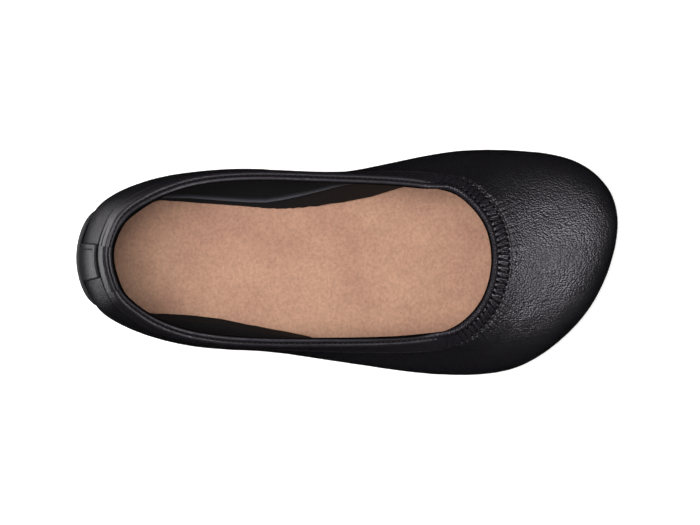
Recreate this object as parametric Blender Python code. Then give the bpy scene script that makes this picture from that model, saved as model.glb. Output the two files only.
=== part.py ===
"""A right barefoot ballet flat, about EU 38, standing empty on its sole.

A thin rubber outsole is cupped up round the heel and the toe. A soft leather upper stands in
that cup, bulges out over its rim and runs in to an elasticated collar. An insole lies on the
outsole's floor. A folded binding covers the collar's edge, a narrow strip covers the back
seam, and a short loop covers the place where the binding's ends meet.

Metres, +Z up, +Y towards the toes. This is a right shoe, so -X is the side of the big toe.
"""

import math
from collections import namedtuple

import bmesh
import bpy
import numpy as np
from mathutils import Matrix

# Driving sizes
LENGTH = 0.2550  # heel to toe, over the rubber
BALL_WIDTH = 0.1055  # across the upper at the ball of the foot
COLLAR_HEIGHT = 0.0500  # from the outsole's floor to the collar at the back of the heel
SOLE_THICKNESS = 0.0028
TOE_SPRING = 0.0050  # how far the ground side of the sole has risen at the toe tip
RIM_RISE = 0.0092  # from the floor to the outsole's rim at the back of the heel
RIM_WALL = 0.0020  # thickness of the outsole's rim
LEATHER_WALL = 0.0015  # leather with its textile lining
INSOLE_THICKNESS = 0.0030
BINDING_WIDTH = 0.0080  # down the outside of the collar
BINDING_INSIDE = 0.0050  # down the inside of the collar
BINDING_THICKNESS = 0.0008
STRIP_WIDTH = 0.0180
STRIP_THICKNESS = 0.0009
LOOP_WIDTH = 0.0205  # along the collar
LOOP_OUTSIDE = 0.0030  # down the outside of the binding
LOOP_INSIDE = 0.0036  # down the inside of the binding
LOOP_THICKNESS = 0.0008
CLEARANCE = 0.0003  # between pieces that touch

# Shares that give the forms their character
FLAT_SHARE = 0.78  # of the length: the sole lies flat up to here, then rises to the toe
CORNER_SHARE = 0.72  # of the rim's height: how far the ground side's edge lies inside the rim
CORNER_ROUNDNESS = 0.55  # of each leg of a corner: its curve's handles
LASTING_START = 0.25  # of the cup's inner corner: the leather's lower edge lies here
LEAVE_SHARE = 0.35  # of the way from rim to bulge: how straight the leather leaves the rim
BULGE_ROUNDNESS = 0.45  # of the height from rim to bulge
ARRIVE_SHARE = 0.38  # of the way from bulge to collar: how straight the leather arrives
INWARD_SHARE = 0.05  # of the ball width: steadies the inward direction on an upright wall
STRIP_OFF_CENTRE = 0.0020  # the strip sits a little to the little-toe side of the heel's back
LOOP_OFF_CENTRE = 0.0060  # and the loop a little more

# Steps of the faceted solids
RIBS_PER_ROW = 3
CORNER_STEPS = 5
LEAVE_STEPS = 3
WALL_STEPS = 8
CROWN_STEPS = 3
BAND_STEPS = 6
OUTER_LEG_STEPS = 3
INNER_LEG_STEPS = 2
SHARP_ANGLE = 40  # degrees
NUDGE = 0.02  # of a section: the step to either side when a direction is read
HEEL_REACH = 1.5  # sections to either side of the heel's back that strip and loop may take
HEEL_SAMPLES = 121

# The shoe's wall, as upright sections on the way round from the back of the heel, along the
# little-toe side, round the toe and back along the big-toe side. Each section passes the
# outsole's rim, the widest place of the leather and the collar's edge.
# y is a share of LENGTH and x of BALL_WIDTH. rim is a share of RIM_RISE, above the floor.
# bulge_z and top_z are shares of COLLAR_HEIGHT, above the outsole's flat floor. swell is a
# share of the way from bulge to collar, and lean the wall's slope at the collar in degrees.
Section = namedtuple(
    "Section", "rim_y rim_x rim bulge_y bulge_x bulge_z top_y top_x top_z swell lean"
)
SECTIONS = (
    Section(0.001, -0.015, 1.00, 0.0155, -0.015, 0.29, 0.061, -0.022, 1.000, 0.34, 60),
    Section(0.018, 0.150, 0.92, 0.029, 0.154, 0.31, 0.075, 0.119, 0.992, 0.34, 62),
    Section(0.058, 0.226, 0.56, 0.063, 0.254, 0.34, 0.101, 0.204, 0.970, 0.34, 66),
    Section(0.134, 0.295, 0.35, 0.137, 0.335, 0.345, 0.163, 0.298, 0.912, 0.34, 74),
    Section(0.235, 0.325, 0.29, 0.236, 0.385, 0.345, 0.251, 0.353, 0.822, 0.34, 81),
    Section(0.353, 0.360, 0.29, 0.353, 0.404, 0.340, 0.353, 0.371, 0.764, 0.33, 84),
    Section(0.471, 0.408, 0.29, 0.471, 0.442, 0.325, 0.464, 0.373, 0.745, 0.33, 80),
    Section(0.588, 0.457, 0.29, 0.588, 0.484, 0.300, 0.573, 0.369, 0.765, 0.31, 68),
    Section(0.698, 0.493, 0.29, 0.698, 0.508, 0.275, 0.667, 0.342, 0.795, 0.29, 50),
    Section(0.796, 0.476, 0.36, 0.797, 0.484, 0.275, 0.724, 0.270, 0.815, 0.26, 36),
    Section(0.878, 0.377, 0.50, 0.879, 0.381, 0.285, 0.756, 0.171, 0.829, 0.23, 28),
    Section(0.954, 0.170, 0.66, 0.957, 0.174, 0.300, 0.770, 0.070, 0.835, 0.20, 25),
    Section(0.996, -0.124, 0.73, 0.999, -0.124, 0.320, 0.773, -0.030, 0.838, 0.19, 24),
    Section(0.976, -0.330, 0.66, 0.979, -0.334, 0.305, 0.764, -0.142, 0.835, 0.20, 25),
    Section(0.913, -0.446, 0.50, 0.914, -0.452, 0.290, 0.741, -0.235, 0.827, 0.24, 30),
    Section(0.816, -0.479, 0.36, 0.816, -0.493, 0.280, 0.706, -0.310, 0.815, 0.27, 40),
    Section(0.706, -0.463, 0.29, 0.706, -0.489, 0.285, 0.659, -0.346, 0.797, 0.30, 56),
    Section(0.596, -0.393, 0.29, 0.596, -0.445, 0.305, 0.580, -0.369, 0.768, 0.32, 74),
    Section(0.471, -0.326, 0.29, 0.471, -0.393, 0.330, 0.463, -0.380, 0.745, 0.34, 84),
    Section(0.353, -0.313, 0.29, 0.353, -0.408, 0.345, 0.353, -0.388, 0.764, 0.34, 85),
    Section(0.235, -0.330, 0.29, 0.235, -0.402, 0.345, 0.247, -0.375, 0.822, 0.34, 82),
    Section(0.134, -0.322, 0.35, 0.137, -0.361, 0.345, 0.161, -0.320, 0.912, 0.34, 75),
    Section(0.058, -0.257, 0.56, 0.063, -0.285, 0.34, 0.096, -0.229, 0.970, 0.34, 67),
    Section(0.018, -0.180, 0.92, 0.028, -0.186, 0.31, 0.072, -0.140, 0.992, 0.34, 62),
)
COLUMNS = Section(*np.array(SECTIONS).T)
RIB_COUNT = RIBS_PER_ROW * len(SECTIONS)
TOE_RIB = RIB_COUNT // 2
UP = np.array([0.0, 0.0, 1.0])


def smooth(column, place):
    """A column as a closed smooth curve, read at places counted in sections."""
    count = len(column)
    here = np.eye(count)
    system = 4 * here + np.roll(here, 1, axis=1) + np.roll(here, -1, axis=1)
    slope = np.linalg.solve(system, 3 * (np.roll(column, -1) - np.roll(column, 1)))
    place = np.asarray(place, float)
    first = np.floor(place).astype(int)
    part = place - first
    start = first % count
    end = (first + 1) % count
    return (
        column[start] * (1 + 2 * part) * (1 - part) ** 2
        + slope[start] * part * (1 - part) ** 2
        + column[end] * (3 - 2 * part) * part**2
        - slope[end] * (1 - part) * part**2
    )


def unit(vectors):
    return vectors / np.linalg.norm(vectors, axis=-1, keepdims=True)


def arc(first, handle, second_handle, last, steps):
    """Rings of points along a cubic curve between two rings, both ends included."""
    part = np.linspace(0, 1, steps + 1)[:, None, None]
    return (
        first * (1 - part) ** 3
        + 3 * handle * part * (1 - part) ** 2
        + 3 * second_handle * part**2 * (1 - part)
        + last * part**3
    )


def spring(y):
    """Height of the sole's ground side: flat, then rising towards the toe."""
    flat_end = FLAT_SHARE * LENGTH
    return TOE_SPRING * np.clip((y - flat_end) / (LENGTH - flat_end), 0, None) ** 2


def ring(x, y, z):
    return np.stack([x, y, z], axis=-1)


def rim_ring(place):
    """The top outer edge of the outsole's rim, and the level outward direction there."""
    x = smooth(COLUMNS.rim_x, place) * BALL_WIDTH
    y = smooth(COLUMNS.rim_y, place) * LENGTH
    z = spring(y) + SOLE_THICKNESS + smooth(COLUMNS.rim, place) * RIM_RISE
    before, after = np.asarray(place) - NUDGE, np.asarray(place) + NUDGE
    across = (smooth(COLUMNS.rim_x, after) - smooth(COLUMNS.rim_x, before)) * BALL_WIDTH
    along = (smooth(COLUMNS.rim_y, after) - smooth(COLUMNS.rim_y, before)) * LENGTH
    return ring(x, y, z), unit(ring(along, -across, 0 * z))


def cup_outside(place):
    """Rings from the edge of the sole's ground side, round the corner and up to the rim."""
    rim, outward = rim_ring(place)
    height = rim[:, 2:] - spring(rim[:, 1:2])
    inset = CORNER_SHARE * height
    edge = rim - inset * outward
    edge[:, 2] = spring(edge[:, 1])
    low = edge + CORNER_ROUNDNESS * inset * outward
    high = rim - CORNER_ROUNDNESS * (rim - edge) * UP
    return arc(edge, low, high, rim, CORNER_STEPS)


def cup_inside(place):
    """Rings from the floor's edge up the inner face of the outsole's rim."""
    rim, outward = rim_ring(place)
    inner_rim = rim - RIM_WALL * outward
    edge = cup_outside(place)[0] + SOLE_THICKNESS * UP
    inset = np.linalg.norm((inner_rim - edge)[:, :2], axis=1, keepdims=True)
    low = edge + CORNER_ROUNDNESS * inset * outward
    high = inner_rim - CORNER_ROUNDNESS * (inner_rim - edge) * UP
    return arc(edge, low, high, inner_rim, CORNER_STEPS)


def corner_normals(rings, outward):
    """Directions into the shoe, square to the cup's inner face in each upright section."""
    run = np.gradient(rings, axis=0)
    level = (run * outward).sum(axis=-1, keepdims=True)
    return unit(run[..., 2:] * -outward + level * UP)


def lasting_rings(place):
    """The leather's outer face inside the cup, from its lower edge up to the rim."""
    _, outward = rim_ring(place)
    rings = cup_inside(place)
    rings = rings + CLEARANCE * corner_normals(rings, outward)
    steps = np.linspace(LASTING_START, 1, CORNER_STEPS) * CORNER_STEPS
    first = np.minimum(steps.astype(int), CORNER_STEPS - 1)
    part = (steps - first)[:, None, None]
    return rings[first] * (1 - part) + rings[first + 1] * part


def free_rings(place, exit_ring):
    """The leather's outer face from the rim, out over the bulge and in to the collar."""
    bulge = ring(
        smooth(COLUMNS.bulge_x, place) * BALL_WIDTH,
        smooth(COLUMNS.bulge_y, place) * LENGTH,
        SOLE_THICKNESS + smooth(COLUMNS.bulge_z, place) * COLLAR_HEIGHT,
    )
    top = ring(
        smooth(COLUMNS.top_x, place) * BALL_WIDTH,
        smooth(COLUMNS.top_y, place) * LENGTH,
        SOLE_THICKNESS + smooth(COLUMNS.top_z, place) * COLLAR_HEIGHT,
    )
    _, outward = rim_ring(place)
    leave = arc(
        exit_ring,
        exit_ring + LEAVE_SHARE * (bulge - exit_ring),
        bulge - BULGE_ROUNDNESS * (bulge - exit_ring) * UP,
        bulge,
        LEAVE_STEPS,
    )
    reach = np.linalg.norm(top - bulge, axis=1, keepdims=True)
    inward = (top - bulge) * (1 - UP) - INWARD_SHARE * BALL_WIDTH * outward
    lean = np.radians(smooth(COLUMNS.lean, place))[:, None]
    arrival = unit(inward) * np.cos(lean) + UP * np.sin(lean)
    swell = smooth(COLUMNS.swell, place)[:, None]
    wall = arc(
        bulge, bulge + swell * reach * UP, top - ARRIVE_SHARE * reach * arrival, top, WALL_STEPS
    )
    return np.concatenate([leave[1:], wall[1:]])


def leather_face(place):
    """The leather's whole outer face, as rings from its lower edge to the collar."""
    lower = lasting_rings(place)
    return np.concatenate([lower, free_rings(place, lower[-1])])


def leather(place, depth):
    """The leather's outer face moved outwards by depth, or inwards where depth is negative."""
    rings = leather_face(place)
    around = leather_face(place + NUDGE) - leather_face(place - NUDGE)
    upward = np.gradient(rings, axis=0)
    return rings + depth * unit(np.cross(around, upward))


def at_distance(rings, distances):
    """Rings read at distances measured along each section, down from the collar."""
    steps = np.linalg.norm(np.diff(rings, axis=0), axis=2)
    from_top = np.concatenate([np.cumsum(steps[::-1], axis=0)[::-1], steps[:1] * 0])
    found = np.empty((len(distances), rings.shape[1], 3))
    for rib in range(rings.shape[1]):
        for axis in range(3):
            found[:, rib, axis] = np.interp(
                distances, from_top[::-1, rib], rings[::-1, rib, axis]
            )
    return found


def all_round():
    return np.arange(RIB_COUNT) / RIBS_PER_ROW


def heel_places(centre, width, ring_index):
    """Places from one side of the heel's back to the other, by their x on one of the rings."""
    fine = np.linspace(-HEEL_REACH, HEEL_REACH, HEEL_SAMPLES)
    x = leather_face(fine)[ring_index, :, 0]
    middle = np.interp(0, fine, x) + centre
    edges = np.linspace(middle - width / 2, middle + width / 2, BAND_STEPS + 1)
    return np.interp(edges, x, fine)


def crown(centre, side, up, radius, turn):
    """Rings over the collar's edge, from its outside to its inside, or back again."""
    angles = np.linspace(0, math.pi, CROWN_STEPS + 2)[1:-1][::turn]
    return np.array([centre + radius * (math.cos(a) * side + math.sin(a) * up) for a in angles])


def hem_profile(place, depth, thickness, outside, inside):
    """A folded hem over the collar: rings round a closed section, CLEARANCE off what it covers.

    depth is how far the covered faces lie outside the leather's own two faces.
    """
    near, far = depth + CLEARANCE, depth + CLEARANCE + thickness
    outer_near, outer_far = leather(place, near), leather(place, far)
    inner_near, inner_far = (leather(place, -LEATHER_WALL - d) for d in (near, far))
    middle = leather(place, -LEATHER_WALL / 2)
    side = unit(outer_far[-1] - inner_far[-1])
    up = unit(middle[-1] - middle[-2])
    low = np.linspace(outside, 0, OUTER_LEG_STEPS + 1)
    back = np.linspace(0, inside, INNER_LEG_STEPS + 1)
    half = LEATHER_WALL / 2
    return np.concatenate(
        [
            at_distance(outer_far, low),
            crown(middle[-1], side, up, half + far, 1),
            at_distance(inner_far, back),
            at_distance(inner_near, back[::-1]),
            crown(middle[-1], side, up, half + near, -1),
            at_distance(outer_near, low[::-1]),
        ]
    )


def plate_faces(first):
    """Faces across a ring of ribs, from each rib to the one opposite it."""
    faces = []
    for rib in range(TOE_RIB):
        corners = [rib, rib + 1, RIB_COUNT - rib - 1, (RIB_COUNT - rib) % RIB_COUNT]
        faces.append([first + corner for corner in dict.fromkeys(corners)])
    return faces


def tube_faces(ring_count, rib_count, closed_round, closed_section):
    """Faces between neighbouring ribs of neighbouring rings."""
    faces = []
    for row in range(ring_count if closed_section else ring_count - 1):
        for rib in range(rib_count if closed_round else rib_count - 1):
            near, far = row * rib_count, (row + 1) % ring_count * rib_count
            beside = (rib + 1) % rib_count
            faces.append((near + rib, near + beside, far + beside, far + rib))
    return faces


def end_faces(ring_count, rib_count):
    """Faces that close both ends of a short band, whose second half of rings is its near face."""
    faces = []
    for end in (0, rib_count - 1):
        for row in range(ring_count // 2 - 1):
            opposite = ring_count - 1 - row
            corners = (row, row + 1, opposite - 1, opposite)
            faces.append([step * rib_count + end for step in corners])
    return faces


def solid(name, rings, faces, material):
    """A closed object from rings of points and the faces between them."""
    mesh = bpy.data.meshes.new(name)
    mesh.from_pydata([tuple(p) for p in rings.reshape(-1, 3)], [], faces)
    work = bmesh.new()
    work.from_mesh(mesh)
    bmesh.ops.recalc_face_normals(work, faces=work.faces)
    bmesh.ops.triangulate(work, faces=work.faces)
    work.to_mesh(mesh)
    work.free()
    mesh.shade_smooth()
    mesh.set_sharp_from_angle(angle=math.radians(SHARP_ANGLE))
    mesh.materials.append(material)
    shoe_piece = bpy.data.objects.new(name, mesh)
    bpy.context.collection.objects.link(shoe_piece)
    return shoe_piece


def paint(name, colour, roughness):
    material = bpy.data.materials.new(name)
    material.use_nodes = True
    surface = material.node_tree.nodes["Principled BSDF"]
    surface.inputs["Base Color"].default_value = (*colour, 1)
    surface.inputs["Roughness"].default_value = roughness
    return material


def build_outsole():
    """The cupped outsole: ground side, rounded corner, rim, and the floor inside it."""
    place = all_round()
    rings = np.concatenate([cup_outside(place), cup_inside(place)[::-1]])
    faces = tube_faces(len(rings), RIB_COUNT, True, False)
    faces += plate_faces(0) + plate_faces((len(rings) - 1) * RIB_COUNT)
    return solid("outsole", rings, faces, paint("black rubber", (0.012, 0.011, 0.012), 0.75))


def build_upper():
    """One hollow wall, open at the collar and underneath."""
    place = all_round()
    rings = np.concatenate([leather(place, 0), leather(place, -LEATHER_WALL)[::-1]])
    faces = tube_faces(len(rings), RIB_COUNT, True, True)
    return solid("upper", rings, faces, paint("black leather", (0.010, 0.010, 0.011), 0.45))


def build_insole():
    """The insole lies on the outsole's floor and follows the leather at its edge."""
    place = all_round()
    _, outward = rim_ring(place)
    lining = leather(place, -LEATHER_WALL - CLEARANCE)
    bottom = cup_inside(place)[0] + CLEARANCE * (UP - outward)
    top_z = bottom[:, 2] + INSOLE_THICKNESS
    top = [
        [np.interp(z, lining[:, rib, 2], lining[:, rib, axis]) for axis in range(2)] + [z]
        for rib, z in enumerate(top_z)
    ]
    rings = np.array([bottom, lining[0], top])
    faces = tube_faces(len(rings), RIB_COUNT, True, False)
    faces += plate_faces(0) + plate_faces((len(rings) - 1) * RIB_COUNT)
    return solid("insole", rings, faces, paint("tan suede", (0.58, 0.34, 0.23), 0.9))


def build_binding():
    """The folded, elasticated hem that covers the whole edge of the collar."""
    rings = hem_profile(all_round(), 0, BINDING_THICKNESS, BINDING_WIDTH, BINDING_INSIDE)
    faces = tube_faces(len(rings), RIB_COUNT, True, True)
    return solid(
        "collar_binding", rings, faces, paint("binding leather", (0.014, 0.014, 0.015), 0.4)
    )


def build_heel_loop():
    """The short hem over the binding at the back of the heel, closed at both ends."""
    place = heel_places(LOOP_OFF_CENTRE, LOOP_WIDTH, -1)
    depth = CLEARANCE + BINDING_THICKNESS
    rings = hem_profile(place, depth, LOOP_THICKNESS, LOOP_OUTSIDE, LOOP_INSIDE)
    faces = tube_faces(len(rings), len(place), False, True)
    faces += end_faces(len(rings), len(place))
    return solid("heel_loop", rings, faces, paint("loop leather", (0.02, 0.02, 0.021), 0.35))


def build_heel_strip():
    """The strip over the back seam, from the outsole's rim up to the binding."""
    place = heel_places(STRIP_OFF_CENTRE, STRIP_WIDTH, CORNER_STEPS + LEAVE_STEPS)
    near = leather(place, CLEARANCE)
    far = leather(place, CLEARANCE + STRIP_THICKNESS)
    steps = np.linalg.norm(np.diff(near[CORNER_STEPS - 1 :], axis=0), axis=2)
    lowest = steps.sum(axis=0).min() - 2 * CLEARANCE
    highest = BINDING_WIDTH + CLEARANCE
    distances = np.linspace(lowest, highest, WALL_STEPS + 1)
    rings = np.concatenate([at_distance(far, distances), at_distance(near, distances[::-1])])
    faces = tube_faces(len(rings), len(place), False, True)
    faces += end_faces(len(rings), len(place))
    return solid("heel_strip", rings, faces, paint("strip leather", (0.02, 0.02, 0.021), 0.35))


def centre_over_origin(pieces):
    """Moves the meshes so that the origin lies on the ground under the middle of the shoe."""
    points = np.array([v.co for piece in pieces for v in piece.data.vertices])
    low, high = points.min(axis=0), points.max(axis=0)
    middle = (low + high) / 2
    shift = Matrix.Translation((-middle[0], -middle[1], -low[2]))
    for piece in pieces:
        piece.data.transform(shift)


def main():
    """Clears the scene and builds the shoe."""
    for item in list(bpy.data.objects):
        bpy.data.objects.remove(item)
    pieces = [
        build_outsole(),
        build_upper(),
        build_insole(),
        build_binding(),
        build_heel_strip(),
        build_heel_loop(),
    ]
    centre_over_origin(pieces)


main()
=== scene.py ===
"""Looks of a right barefoot ballet flat: leather, rubber, suede and stitching round its solids.

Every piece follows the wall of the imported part. The wall's sizes and sections stand here as in
the part's source, and all pieces are read from that one wall at a finer step. Metres, +Z up,
+Y towards the toes, -X on the side of the big toe.
"""

import math
from collections import namedtuple

import bmesh
import bpy
import numpy as np
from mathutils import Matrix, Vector


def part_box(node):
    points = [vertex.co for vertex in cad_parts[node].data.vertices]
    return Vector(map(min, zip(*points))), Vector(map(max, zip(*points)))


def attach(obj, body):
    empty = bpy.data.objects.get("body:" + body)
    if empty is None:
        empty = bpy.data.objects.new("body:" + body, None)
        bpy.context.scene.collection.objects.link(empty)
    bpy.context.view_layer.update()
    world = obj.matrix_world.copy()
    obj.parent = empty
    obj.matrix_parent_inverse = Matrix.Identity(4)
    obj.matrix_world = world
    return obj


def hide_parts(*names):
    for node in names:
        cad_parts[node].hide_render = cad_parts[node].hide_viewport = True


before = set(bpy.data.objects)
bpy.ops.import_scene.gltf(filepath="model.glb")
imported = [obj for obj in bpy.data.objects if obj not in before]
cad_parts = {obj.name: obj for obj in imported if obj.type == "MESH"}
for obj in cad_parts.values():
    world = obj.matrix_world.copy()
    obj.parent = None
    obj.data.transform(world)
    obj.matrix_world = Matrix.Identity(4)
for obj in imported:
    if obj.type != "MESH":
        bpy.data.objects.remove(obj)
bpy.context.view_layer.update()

bl_info = {
    "name": "Barefoot ballet flat",
    "version": (1, 0, 0),
    "blender": (4, 5, 0),
    "location": "3D View > Sidebar > Ballet Flat",
    "description": "Dresses the solids of a right ballet flat in leather, rubber and suede",
    "category": "Object",
}

MM = 0.001

# Sizes of the part, as in its source
LENGTH = 0.2550
BALL_WIDTH = 0.1055
COLLAR_HEIGHT = 0.0500
SOLE_THICKNESS = 0.0028
TOE_SPRING = 0.0050
RIM_RISE = 0.0092
RIM_WALL = 0.0020
LEATHER_WALL = 0.0015
INSOLE_THICKNESS = 0.0030
BINDING_WIDTH = 0.0080
BINDING_INSIDE = 0.0050
BINDING_THICKNESS = 0.0008
STRIP_WIDTH = 0.0180
STRIP_THICKNESS = 0.0009
LOOP_WIDTH = 0.0205
LOOP_OUTSIDE = 0.0030
LOOP_INSIDE = 0.0036
LOOP_THICKNESS = 0.0008
CLEARANCE = 0.0003

# Shares that give the part's forms their character, as in its source
FLAT_SHARE = 0.78
CORNER_SHARE = 0.72
CORNER_ROUNDNESS = 0.55
LASTING_START = 0.25
LEAVE_SHARE = 0.35
BULGE_ROUNDNESS = 0.45
ARRIVE_SHARE = 0.38
INWARD_SHARE = 0.05
STRIP_OFF_CENTRE = 0.0020
LOOP_OFF_CENTRE = 0.0060
CORNER_STEPS = 5
NUDGE = 0.02
HEEL_REACH = 1.5
HEEL_SAMPLES = 121
SOURCE_RIBS_PER_ROW = 3

# The wall's upright sections, as in the part's source, on the way round from the back of the
# heel, along the little-toe side, round the toe and back along the big-toe side. y is a share
# of LENGTH and x of BALL_WIDTH. rim is a share of RIM_RISE, above the floor. bulge_z and top_z
# are shares of COLLAR_HEIGHT, swell of the way up, and lean the slope at the collar in degrees.
Section = namedtuple(
    "Section", "rim_y rim_x rim bulge_y bulge_x bulge_z top_y top_x top_z swell lean"
)
SECTIONS = (
    Section(0.001, -0.015, 1.00, 0.0155, -0.015, 0.29, 0.061, -0.022, 1.000, 0.34, 60),
    Section(0.018, 0.150, 0.92, 0.029, 0.154, 0.31, 0.075, 0.119, 0.992, 0.34, 62),
    Section(0.058, 0.226, 0.56, 0.063, 0.254, 0.34, 0.101, 0.204, 0.970, 0.34, 66),
    Section(0.134, 0.295, 0.35, 0.137, 0.335, 0.345, 0.163, 0.298, 0.912, 0.34, 74),
    Section(0.235, 0.325, 0.29, 0.236, 0.385, 0.345, 0.251, 0.353, 0.822, 0.34, 81),
    Section(0.353, 0.360, 0.29, 0.353, 0.404, 0.340, 0.353, 0.371, 0.764, 0.33, 84),
    Section(0.471, 0.408, 0.29, 0.471, 0.442, 0.325, 0.464, 0.373, 0.745, 0.33, 80),
    Section(0.588, 0.457, 0.29, 0.588, 0.484, 0.300, 0.573, 0.369, 0.765, 0.31, 68),
    Section(0.698, 0.493, 0.29, 0.698, 0.508, 0.275, 0.667, 0.342, 0.795, 0.29, 50),
    Section(0.796, 0.476, 0.36, 0.797, 0.484, 0.275, 0.724, 0.270, 0.815, 0.26, 36),
    Section(0.878, 0.377, 0.50, 0.879, 0.381, 0.285, 0.756, 0.171, 0.829, 0.23, 28),
    Section(0.954, 0.170, 0.66, 0.957, 0.174, 0.300, 0.770, 0.070, 0.835, 0.20, 25),
    Section(0.996, -0.124, 0.73, 0.999, -0.124, 0.320, 0.773, -0.030, 0.838, 0.19, 24),
    Section(0.976, -0.330, 0.66, 0.979, -0.334, 0.305, 0.764, -0.142, 0.835, 0.20, 25),
    Section(0.913, -0.446, 0.50, 0.914, -0.452, 0.290, 0.741, -0.235, 0.827, 0.24, 30),
    Section(0.816, -0.479, 0.36, 0.816, -0.493, 0.280, 0.706, -0.310, 0.815, 0.27, 40),
    Section(0.706, -0.463, 0.29, 0.706, -0.489, 0.285, 0.659, -0.346, 0.797, 0.30, 56),
    Section(0.596, -0.393, 0.29, 0.596, -0.445, 0.305, 0.580, -0.369, 0.768, 0.32, 74),
    Section(0.471, -0.326, 0.29, 0.471, -0.393, 0.330, 0.463, -0.380, 0.745, 0.34, 84),
    Section(0.353, -0.313, 0.29, 0.353, -0.408, 0.345, 0.353, -0.388, 0.764, 0.34, 85),
    Section(0.235, -0.330, 0.29, 0.235, -0.402, 0.345, 0.247, -0.375, 0.822, 0.34, 82),
    Section(0.134, -0.322, 0.35, 0.137, -0.361, 0.345, 0.161, -0.320, 0.912, 0.34, 75),
    Section(0.058, -0.257, 0.56, 0.063, -0.285, 0.34, 0.096, -0.229, 0.970, 0.34, 67),
    Section(0.018, -0.180, 0.92, 0.028, -0.186, 0.31, 0.072, -0.140, 0.992, 0.34, 62),
)
COLUMNS = Section(*np.array(SECTIONS).T)

# The lining is padded and stands in from the wall. Along y, in millimetres from the heel: foot
# is how far from the middle line it meets the insole, crest and height place the point where it
# turns upwards, and ridge is the share of the raised fold that runs along that point.
LiningRow = namedtuple("LiningRow", "y foot crest height ridge")
BIG_TOE_SIDE = (
    LiningRow(14, 27.0, 29.0, 9.5, 0.0),
    LiningRow(24, 26.5, 28.5, 9.5, 0.0),
    LiningRow(32, 27.3, 29.3, 9.5, 0.3),
    LiningRow(40, 28.0, 30.4, 9.5, 0.7),
    LiningRow(54, 26.8, 30.4, 9.5, 1.0),
    LiningRow(68, 25.7, 29.4, 9.5, 1.0),
    LiningRow(82, 24.5, 28.5, 9.5, 1.0),
    LiningRow(90, 23.9, 28.4, 10.5, 1.0),
    LiningRow(97, 23.8, 29.4, 13.0, 1.0),
    LiningRow(105, 24.5, 31.2, 17.0, 1.0),
    LiningRow(113, 25.4, 33.2, 22.0, 1.0),
    LiningRow(121, 26.6, 35.2, 26.0, 1.0),
    LiningRow(129, 28.2, 36.4, 29.0, 0.6),
    LiningRow(138, 30.0, 37.0, 30.0, 0.2),
    LiningRow(152, 34.4, 37.4, 30.0, 0.0),
    LiningRow(166, 37.5, 38.5, 30.0, 0.0),
)
LITTLE_TOE_SIDE = (
    LiningRow(14, 27.0, 29.0, 12.0, 0.0),
    LiningRow(24, 25.0, 27.5, 12.0, 0.0),
    LiningRow(32, 24.4, 27.2, 12.0, 0.0),
    LiningRow(40, 24.1, 27.4, 12.0, 0.0),
    LiningRow(54, 25.1, 28.4, 12.0, 0.0),
    LiningRow(68, 26.8, 30.0, 12.0, 0.0),
    LiningRow(82, 29.7, 32.7, 12.0, 0.0),
    LiningRow(96, 32.5, 34.9, 13.0, 0.0),
    LiningRow(108, 34.9, 36.6, 14.0, 0.0),
    LiningRow(120, 37.5, 38.5, 15.0, 0.0),
)
LINING_COLUMNS = [LiningRow(*np.array(rows).T) for rows in (BIG_TOE_SIDE, LITTLE_TOE_SIDE)]
PADDING_START = (9 * MM, 24 * MM)  # from the heel: the padding grows between these
PADDING_FADE = 12 * MM  # and fades out over this length before a table's last row
PADDING_BACK = 7 * MM  # above the crest it runs back to the wall within this height
PADDING_TOP = 36 * MM  # and has ended here
LEAST_SIDEWAYS = 0.35  # steadies the padding where the wall turns to face the heel or the toe
INSOLE_TOP = SOLE_THICKNESS + CLEARANCE + INSOLE_THICKNESS

# Soft ridges in the upper at the little-toe side of the waist, from one point to another seen
# from above, in millimetres: x and y of both ends, height and half-width
CREASES = (
    (40.7, 71.0, 41.4, 78.5, 0.30, 0.9),
    (41.0, 79.5, 41.4, 87.5, 0.26, 0.8),
    (42.2, 92.0, 40.6, 97.5, 0.40, 0.9),
)
ROUND = len(SECTIONS)
TOE_PLACE = ROUND / 2
UP = np.array([0.0, 0.0, 1.0])


def smooth(column, place):
    """A column as a closed smooth curve, read at places counted in sections."""
    count = len(column)
    here = np.eye(count)
    system = 4 * here + np.roll(here, 1, axis=1) + np.roll(here, -1, axis=1)
    slope = np.linalg.solve(system, 3 * (np.roll(column, -1) - np.roll(column, 1)))
    place = np.asarray(place, float)
    first = np.floor(place).astype(int)
    part = place - first
    start = first % count
    end = (first + 1) % count
    return (
        column[start] * (1 + 2 * part) * (1 - part) ** 2
        + slope[start] * part * (1 - part) ** 2
        + column[end] * (3 - 2 * part) * part**2
        - slope[end] * (1 - part) * part**2
    )


def unit(vectors):
    return vectors / np.linalg.norm(vectors, axis=-1, keepdims=True)


def arc(first, handle, second_handle, last, steps):
    """Rings of points along a cubic curve between two rings, both ends included."""
    part = np.linspace(0, 1, steps + 1)[:, None, None]
    return (
        first * (1 - part) ** 3
        + 3 * handle * part * (1 - part) ** 2
        + 3 * second_handle * part**2 * (1 - part)
        + last * part**3
    )


def spring(y):
    """Height of the sole's ground side: flat, then rising towards the toe."""
    flat_end = FLAT_SHARE * LENGTH
    return TOE_SPRING * np.clip((y - flat_end) / (LENGTH - flat_end), 0, None) ** 2


def ring(x, y, z):
    return np.stack([x, y, z], axis=-1)


def rim_ring(place):
    """The top outer edge of the outsole's rim, and the level outward direction there."""
    x = smooth(COLUMNS.rim_x, place) * BALL_WIDTH
    y = smooth(COLUMNS.rim_y, place) * LENGTH
    z = spring(y) + SOLE_THICKNESS + smooth(COLUMNS.rim, place) * RIM_RISE
    before, after = np.asarray(place) - NUDGE, np.asarray(place) + NUDGE
    across = (smooth(COLUMNS.rim_x, after) - smooth(COLUMNS.rim_x, before)) * BALL_WIDTH
    along = (smooth(COLUMNS.rim_y, after) - smooth(COLUMNS.rim_y, before)) * LENGTH
    return ring(x, y, z), unit(ring(along, -across, 0 * z))


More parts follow.
